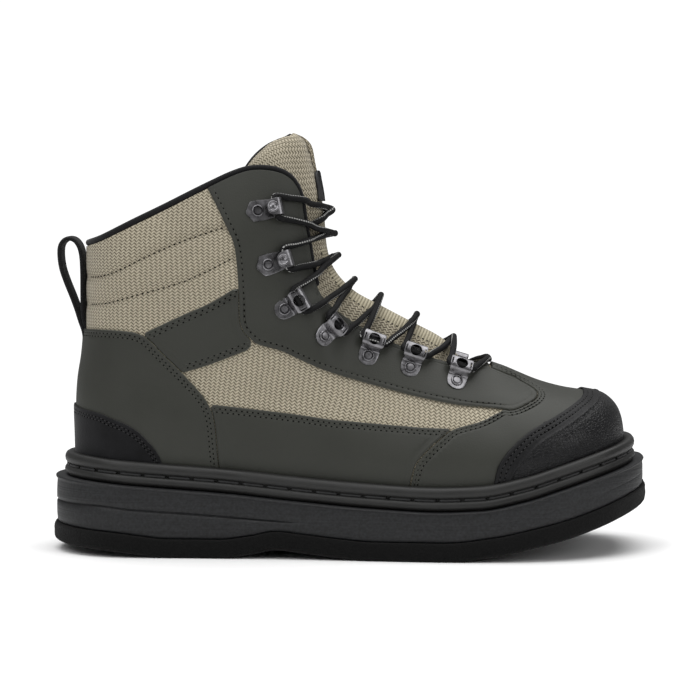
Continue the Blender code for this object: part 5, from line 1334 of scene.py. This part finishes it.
ROUND_EDGES = ("BEVEL", {"width": 0.16, "segments": 2, "limit_method": "ANGLE",
                         "angle_limit": math.radians(40)})
RIVET = ((0.0, 1.8), (0.9, 1.78), (1.75, 1.7), (1.95, 1.4), (2.1, 1.05), (2.25, 1.05), (2.4, 1.6),
         (2.65, 1.9), (2.9, 1.88), (3.15, 1.6), (3.25, 1.2), (3.25, 0.8))


def eyelet_body():
    """A teardrop plate that rises into a box over the lace, open at both sides and holed on top."""
    path = curve_through([(-5.3, 0.5), (-3.2, 0.5), (0.0, 0.5), (2.6, 0.5), (3.7, 1.1), (4.5, 2.9),
                          (5.3, 4.6), (6.6, 5.35), (8.6, 5.5), (10.6, 5.35), (12.2, 4.6), (12.9, 3.0),
                          (12.7, 1.2), (11.8, 0.55), (9.5, 0.5), (6.6, 0.5)], 3)
    shares = np.linspace(0, 1, len(path))
    wide = np.interp(path[:, 0] + 20 * (shares > 0.76),
                     (-5.3, -5.0, -4.3, -3.0, 0.0, 3.0, 4.5, 5.4, 6.3, 11.0, 12.9, 26.0, 33.0),
                     (0.7, 1.9, 3.2, 4.5, 5.2, 5.2, 5.3, 5.6, 6.0, 6.0, 5.3, 5.0, 5.0))
    strap = bent_plate(path, wide, 13)
    bmesh.ops.recalc_face_normals(strap, faces=strap.faces)
    hole = bmesh.new()
    bmesh.ops.create_cone(hole, cap_ends=True, segments=32, radius1=3.15, radius2=3.15, depth=4.0,
                          matrix=Matrix.Translation((8.6, 0, 6.0)))
    for y in (-5.1, 5.1):
        bmesh.ops.create_cube(hole, size=1.0, matrix=Matrix.Translation((8.6, y, 6.0))
                              @ Matrix.Diagonal((3.6, 0.7, 4.0, 1)))
    holes = cutter(hole)
    strap = with_modifiers(strap, ("SOLIDIFY", {"thickness": 0.9, "offset": 0}),
                           ("BOOLEAN", {"operation": "DIFFERENCE", "object": holes}), ROUND_EDGES)
    bpy.data.objects.remove(holes)
    return joined(strap, turned(RIVET))


def hook_body():
    bend = [(10.4 + 2.45 * math.sin(a), 2.95 - 2.45 * math.cos(a)) for a in np.linspace(0, math.pi, 11)]
    flat = [(x, 0.5) for x in (-6.3, -5.4, -4.2, -3.2, -1.0, 1.5, 4.0, 7.0)]
    lip = [(9.0, 5.42), (7.6, 5.45), (6.4, 5.5), (5.5, 5.55), (4.9, 5.6), (4.55, 5.62), (4.4, 5.62)]
    path = [*flat, *bend, *lip]
    wide = [0.5, 1.9, 3.9, 5.3, 5.5, 5.5, 5.3, 4.9, *[4.5] * 11, 4.4, 4.25, 3.9, 3.3, 2.6, 1.8, 0.8]
    strap = bent_plate(path, wide, 11)
    bmesh.ops.recalc_face_normals(strap, faces=strap.faces)
    strap = with_modifiers(strap, ("SOLIDIFY", {"thickness": 0.95, "offset": 0}), ROUND_EDGES)
    button = turned(((0.0, 6.5), (1.0, 6.42), (1.4, 6.2), (1.7, 6.1), (2.0, 6.35), (2.4, 6.62), (2.8, 6.6),
                     (3.1, 6.35), (3.2, 5.8)), (7.6, 0.0))
    return joined(strap, turned(RIVET), button)


bodies = {"hook": hook_body(), "eyelet": eyelet_body()}


def unit(v):
    return v / np.linalg.norm(v)


def stop_place(stop, side):
    """Where a hook or eyelet sits: its foot, and its directions to the throat, up the lacing and out."""
    _, x, z, lace_x, lace_z = stop
    foot, normal = surface(x * UPPER_LENGTH, z * COLLAR_HEIGHT, side)
    lace, lace_normal = surface(lace_x * UPPER_LENGTH, lace_z * COLLAR_HEIGHT, side)
    reach = unit((lace - foot) * (1.0, 0.72, 1.0))
    out = unit(normal + lace_normal)
    out = unit(out - reach * (out @ reach))
    up = np.cross(out, reach) if side < 0 else np.cross(reach, out)
    heights = []
    for a in (-4.5, 0, 4.0, EYELET_REACH, EYELET_REACH + 3.5):
        for b in (-4.5, 0, 4.5):
            under = foot + reach * a + up * b
            if under[0] < front_x(under[2]) - 1:
                heights.append(float((surface(under[0], under[2], side)[0] - under) @ out))
    return foot + out * (max(max(heights) - 0.9, np.mean(heights)) + 1.6), reach, up, out


stops = {(number, side): stop_place(stop, side) for number, stop in enumerate(LACE_STOPS, 1)
         for side in (-1, 1)}
for (number, side), (foot, reach, up, out) in stops.items():
    kind, word = LACE_STOPS[number - 1][0], "lateral" if side < 0 else "medial"
    turn = Matrix((Vector(reach), Vector(np.cross(out, reach)), Vector(out))).transposed().to_4x4()
    one = bodies[kind].copy()
    bmesh.ops.transform(one, matrix=Matrix.Translation(Vector(foot)) @ turn, verts=one.verts)
    piece = store(one, f"metal_{kind}_{word}_{number}", gunmetal, [f"{kind}_{word}_{number}"])
    piece.data.set_sharp_from_angle(angle=math.radians(50))

# Lace.
# Round braided polyester cord 3.4 mm thick, black with a pale tracer, in one length.
# It crosses from each hook and eyelet to the next on the other side. Its ends are tucked behind the throat.
LACE_RADIUS = 1.7
LACE_CROSSINGS = (
    (-0.0345, 0.816), (-0.0245, 0.761), (0.0065, 0.707), (0.0535, 0.668), (0.1205, 0.618), (0.1945, 0.559),
)
# Two sets of strands cross in a braid, and a pale dashed tracer winds slowly round it
lace_cord, tree, shader = finish_named("black_braided_cord", Roughness=0.7, Specular_IOR_Level=0.2)
place = add(tree, "SeparateXYZ", {0: add(tree, "UVMap", uv_map="map")})
along_lace = add(tree, "Math", {0: place.outputs["X"], 1: 4.2}, operation="MULTIPLY")
round_lace = add(tree, "Math", {0: place.outputs["Y"], 1: 3.75}, operation="MULTIPLY")
one_way = add(tree, "Math", {0: along_lace, 1: round_lace}, operation="ADD")
one_way = add(tree, "Math", {0: one_way}, operation="SINE")
other_way = add(tree, "Math", {0: along_lace, 1: round_lace}, operation="SUBTRACT")
other_way = add(tree, "Math", {0: other_way}, operation="SINE")
braid = add(tree, "Math", {0: one_way, 1: other_way}, operation="MULTIPLY")
strands = add(tree, "Math", {0: braid, 1: 0.5}, operation="MULTIPLY")
strands = add(tree, "Math", {0: strands, 1: 0.5}, operation="ADD")
tracer_at = add(tree, "Math", {0: place.outputs["X"], 1: 0.07}, operation="MULTIPLY")
tracer_at = add(tree, "Math", {0: tracer_at}, operation="SINE")
tracer_at = add(tree, "Math", {0: tracer_at, 1: 1.6}, operation="MULTIPLY")
tracer_at = add(tree, "Math", {0: 2.67, 1: tracer_at}, operation="ADD")
half_way = add(tree, "Math", {0: place.outputs["Y"], 1: math.pi * LACE_RADIUS}, operation="MODULO")
near_tracer = add(tree, "Math", {0: half_way, 1: tracer_at}, operation="SUBTRACT")
near_tracer = add(tree, "Math", {0: near_tracer}, operation="ABSOLUTE")
near_tracer = add(tree, "Math", {0: near_tracer, 1: 0.4}, operation="LESS_THAN")
dashes = add(tree, "Math", {0: along_lace}, operation="SINE")
dashes = add(tree, "Math", {0: dashes, 1: -0.35}, operation="GREATER_THAN")
tracer = add(tree, "Math", {0: near_tracer, 1: dashes}, operation="MULTIPLY")
dark = add(tree, "ValToRGB", {0: strands}, stops=((0.1, "#040405"), (0.9, "#121213")))
mixed = add(tree, "Mix", {0: tracer, 6: dark, 7: colour("#9a9a98")}, data_type="RGBA")
relief = add(tree, "Bump", {"Height": strands, "Strength": 0.7, "Distance": 0.0003})
add(tree, shader, {"Base Color": mixed.outputs[2], "Normal": relief})


def surface_tree(*names):
    """A search tree over pieces, in millimetres in the boot's own place."""
    whole = bmesh.new()
    for name in names:
        whole.from_mesh(bpy.data.objects[name].data)
    bmesh.ops.transform(whole, matrix=TO_FRAME.inverted(), verts=whole.verts)
    whole.normal_update()
    return BVHTree.FromBMesh(whole)


under_lace = surface_tree("tongue_padded", "leather_eyestay_lateral", "leather_eyestay_medial",
                          "leather_vamp", "collar_tape")


def clear_of(point, lift):
    """Moves a point out until it stands a distance off the tongue, the eyestays and the throat's binding."""
    point = Vector(point)
    away = Vector((0.62, 0.0, 0.78)) if point.z < 125 else Vector((1.0, 0.0, 0.25))
    away.y = 0.9 * math.copysign(min(abs(point.y) / 22.0, 1.0), point.y)
    away.normalize()
    for _ in range(24):
        hit, facing, _, _ = under_lace.ray_cast(point, away, 14.0)
        buried = hit is not None and facing.dot(away) > 0
        if buried:
            point = hit + away * lift
        distance = under_lace.find_nearest(point)[3]
        if distance >= lift and not buried:
            break
        if distance < lift:
            point = point + away * (lift - distance + 0.05)
    return np.array(point)


def laid(start, end, count, lift=LACE_RADIUS + 0.15, arch=0.0, slack=(0.0, 0.0, 0.0)):
    """Points from start to end, with some slack, lifted clear of what lies under the lace."""
    shares = np.linspace(0, 1, count + 2)[1:-1]
    bow = np.array((0.8, 0.0, 0.6)) * arch + slack
    middle = [clear_of(start + (end - start) * t + bow * math.sin(math.pi * t), lift) for t in shares]
    line = np.array([start, *middle, end])
    for _ in range(3):
        line[1:-1] = line[1:-1] * 0.4 + (line[:-2] + line[2:]) * 0.3
    return [clear_of(point, lift - 0.1) for point in line[1:-1]]


def apex(shares, level):
    """A point over the front ridge near a place of the side view, at a level above what lies there."""
    x, z = shares[0] * UPPER_LENGTH, shares[1] * COLLAR_HEIGHT
    start = Vector((x + 2.5, float(middle_y(x)), z + 2.5))
    near, normal, _, _ = under_lace.find_nearest(start)
    normal.y = 0
    return np.array(near + normal.normalized() * level)


def passing(number, side):
    """Points of the lace through a stop, from above it to below it."""
    foot, reach, up, out = stops[number, side]
    if LACE_STOPS[number - 1][0] == "hook":
        centre = foot + reach * (EYELET_REACH + 1.2) + out * LACE_MIDDLE
        return [centre + up * 5.6 + reach * 0.4, centre, centre - up * 5.6 + reach * 0.4], up
    centre = foot + reach * EYELET_REACH + out * LACE_MIDDLE
    return [centre + up * 6.2, centre, centre - up * 6.2], up


def half_lace(side):
    """From the tuck on the other side, over the top crossing and down to the last stop of this route."""
    at = side
    through = passing(1, side)[0]
    top = apex((-0.0290, 0.880), 1.75 if side < 0 else 4.85)
    tuck = np.array([-0.073 * UPPER_LENGTH, -side * 13.0, 0.850 * COLLAR_HEIGHT])
    route = [tuck, *laid(tuck, top, 2), top, *laid(top, through[0], 4)]
    for number in range(1, len(LACE_STOPS) + 1):
        through, up = passing(number, at)
        route += through
        if number == len(LACE_STOPS):
            return route
        over = at * (-1) ** number > 0
        crest = apex(LACE_CROSSINGS[number - 1], 4.75 if over else 1.7)
        onward = passing(number + 1, -at)[0]
        arch = 1.6 if over else 0.6
        over_ridge = np.array((0.0, 2.3 * at, 0.0))
        first_shoulder, last_shoulder = crest + over_ridge, crest - over_ridge
        route += laid(through[-1], first_shoulder, 4, arch=arch, slack=up * -1.8)
        route += [first_shoulder, crest, last_shoulder, *laid(last_shoulder, onward[0], 4, arch=arch)]
        at = -at


first, second = half_lace(1), half_lace(-1)
bar_top = apex((0.229, 0.520), 1.7)
bar = [*laid(first[-1], bar_top, 4), bar_top, *laid(bar_top, second[-1], 4)]
lace_line = curve_through(np.array([*first, *bar, *second[::-1]]), 8)
lace_line = along(lace_line, np.linspace(0, 1, 2600))
lace = tube(lace_line, LACE_RADIUS, 14)
crossings = [f"lace_cross_{n}" for n in range(1, 7)] + ["lace_bar", "lace_cross_top"]
store(lace, "lace_length", lace_cord, crossings)

# Floor, light and camera.
# A white disc under soft studio light, seen from the outer side at the photo's angle.
# Only the camera sees the bright background, so that the black pieces stay black.
floor = bmesh.new()
bmesh.ops.create_circle(floor, cap_ends=True, segments=96, radius=0.8,
                        matrix=Matrix.Translation((0, 0, -0.00002)))
floor_mesh = bpy.data.meshes.new("floor")
floor.to_mesh(floor_mesh)
pale_floor = finish_named("pale_floor", Roughness=1.0, Specular_IOR_Level=0.0, Base_Color=colour("#f7f7f7"))
floor_mesh.materials.append(pale_floor[0])
floor_object = bpy.data.objects.new("floor", floor_mesh)
bpy.context.scene.collection.objects.link(floor_object)

world = bpy.data.worlds.new("studio")
world.use_nodes = True
seen = add(world.node_tree, "LightPath").outputs["Is Camera Ray"]
for_camera = add(world.node_tree, "Math", {0: seen, 1: 0.86}, operation="MULTIPLY")
strength = add(world.node_tree, "Math", {0: 0.24, 1: for_camera}, operation="ADD")
add(world.node_tree, world.node_tree.nodes["Background"], {0: (1, 1, 1, 1), 1: strength})
bpy.context.scene.world = world


def area_light(name, place, target, size, power):
    data = bpy.data.lights.new(name, "AREA")
    data.size, data.energy = size, power
    lamp = bpy.data.objects.new(name, data)
    lamp.location = place
    lamp.rotation_euler = (Vector(target) - Vector(place)).to_track_quat("-Z", "Y").to_euler()
    bpy.context.scene.collection.objects.link(lamp)


area_light("overhead", (0, 0.1, 1.9), (0, 0, 0), 2.6, 57)
area_light("key", (-0.9, -1.3, 1.2), (0, 0, 0.1), 0.8, 8)
area_light("fill", (1.3, -1.0, 0.8), (0, 0, 0.1), 0.8, 5.5)

camera = bpy.data.cameras.new("camera")
camera.lens = 36 * 2409 / 700
seen_from = bpy.data.objects.new("camera", camera)
seen_from.location = (0, -1.3, 0.193)
aim = Vector((0, 0, 0.1066)) - Vector(seen_from.location)
seen_from.rotation_euler = aim.to_track_quat("-Z", "Y").to_euler()
bpy.context.scene.collection.objects.link(seen_from)
bpy.context.scene.camera = seen_from
bpy.context.scene.view_settings.view_transform = "Standard"
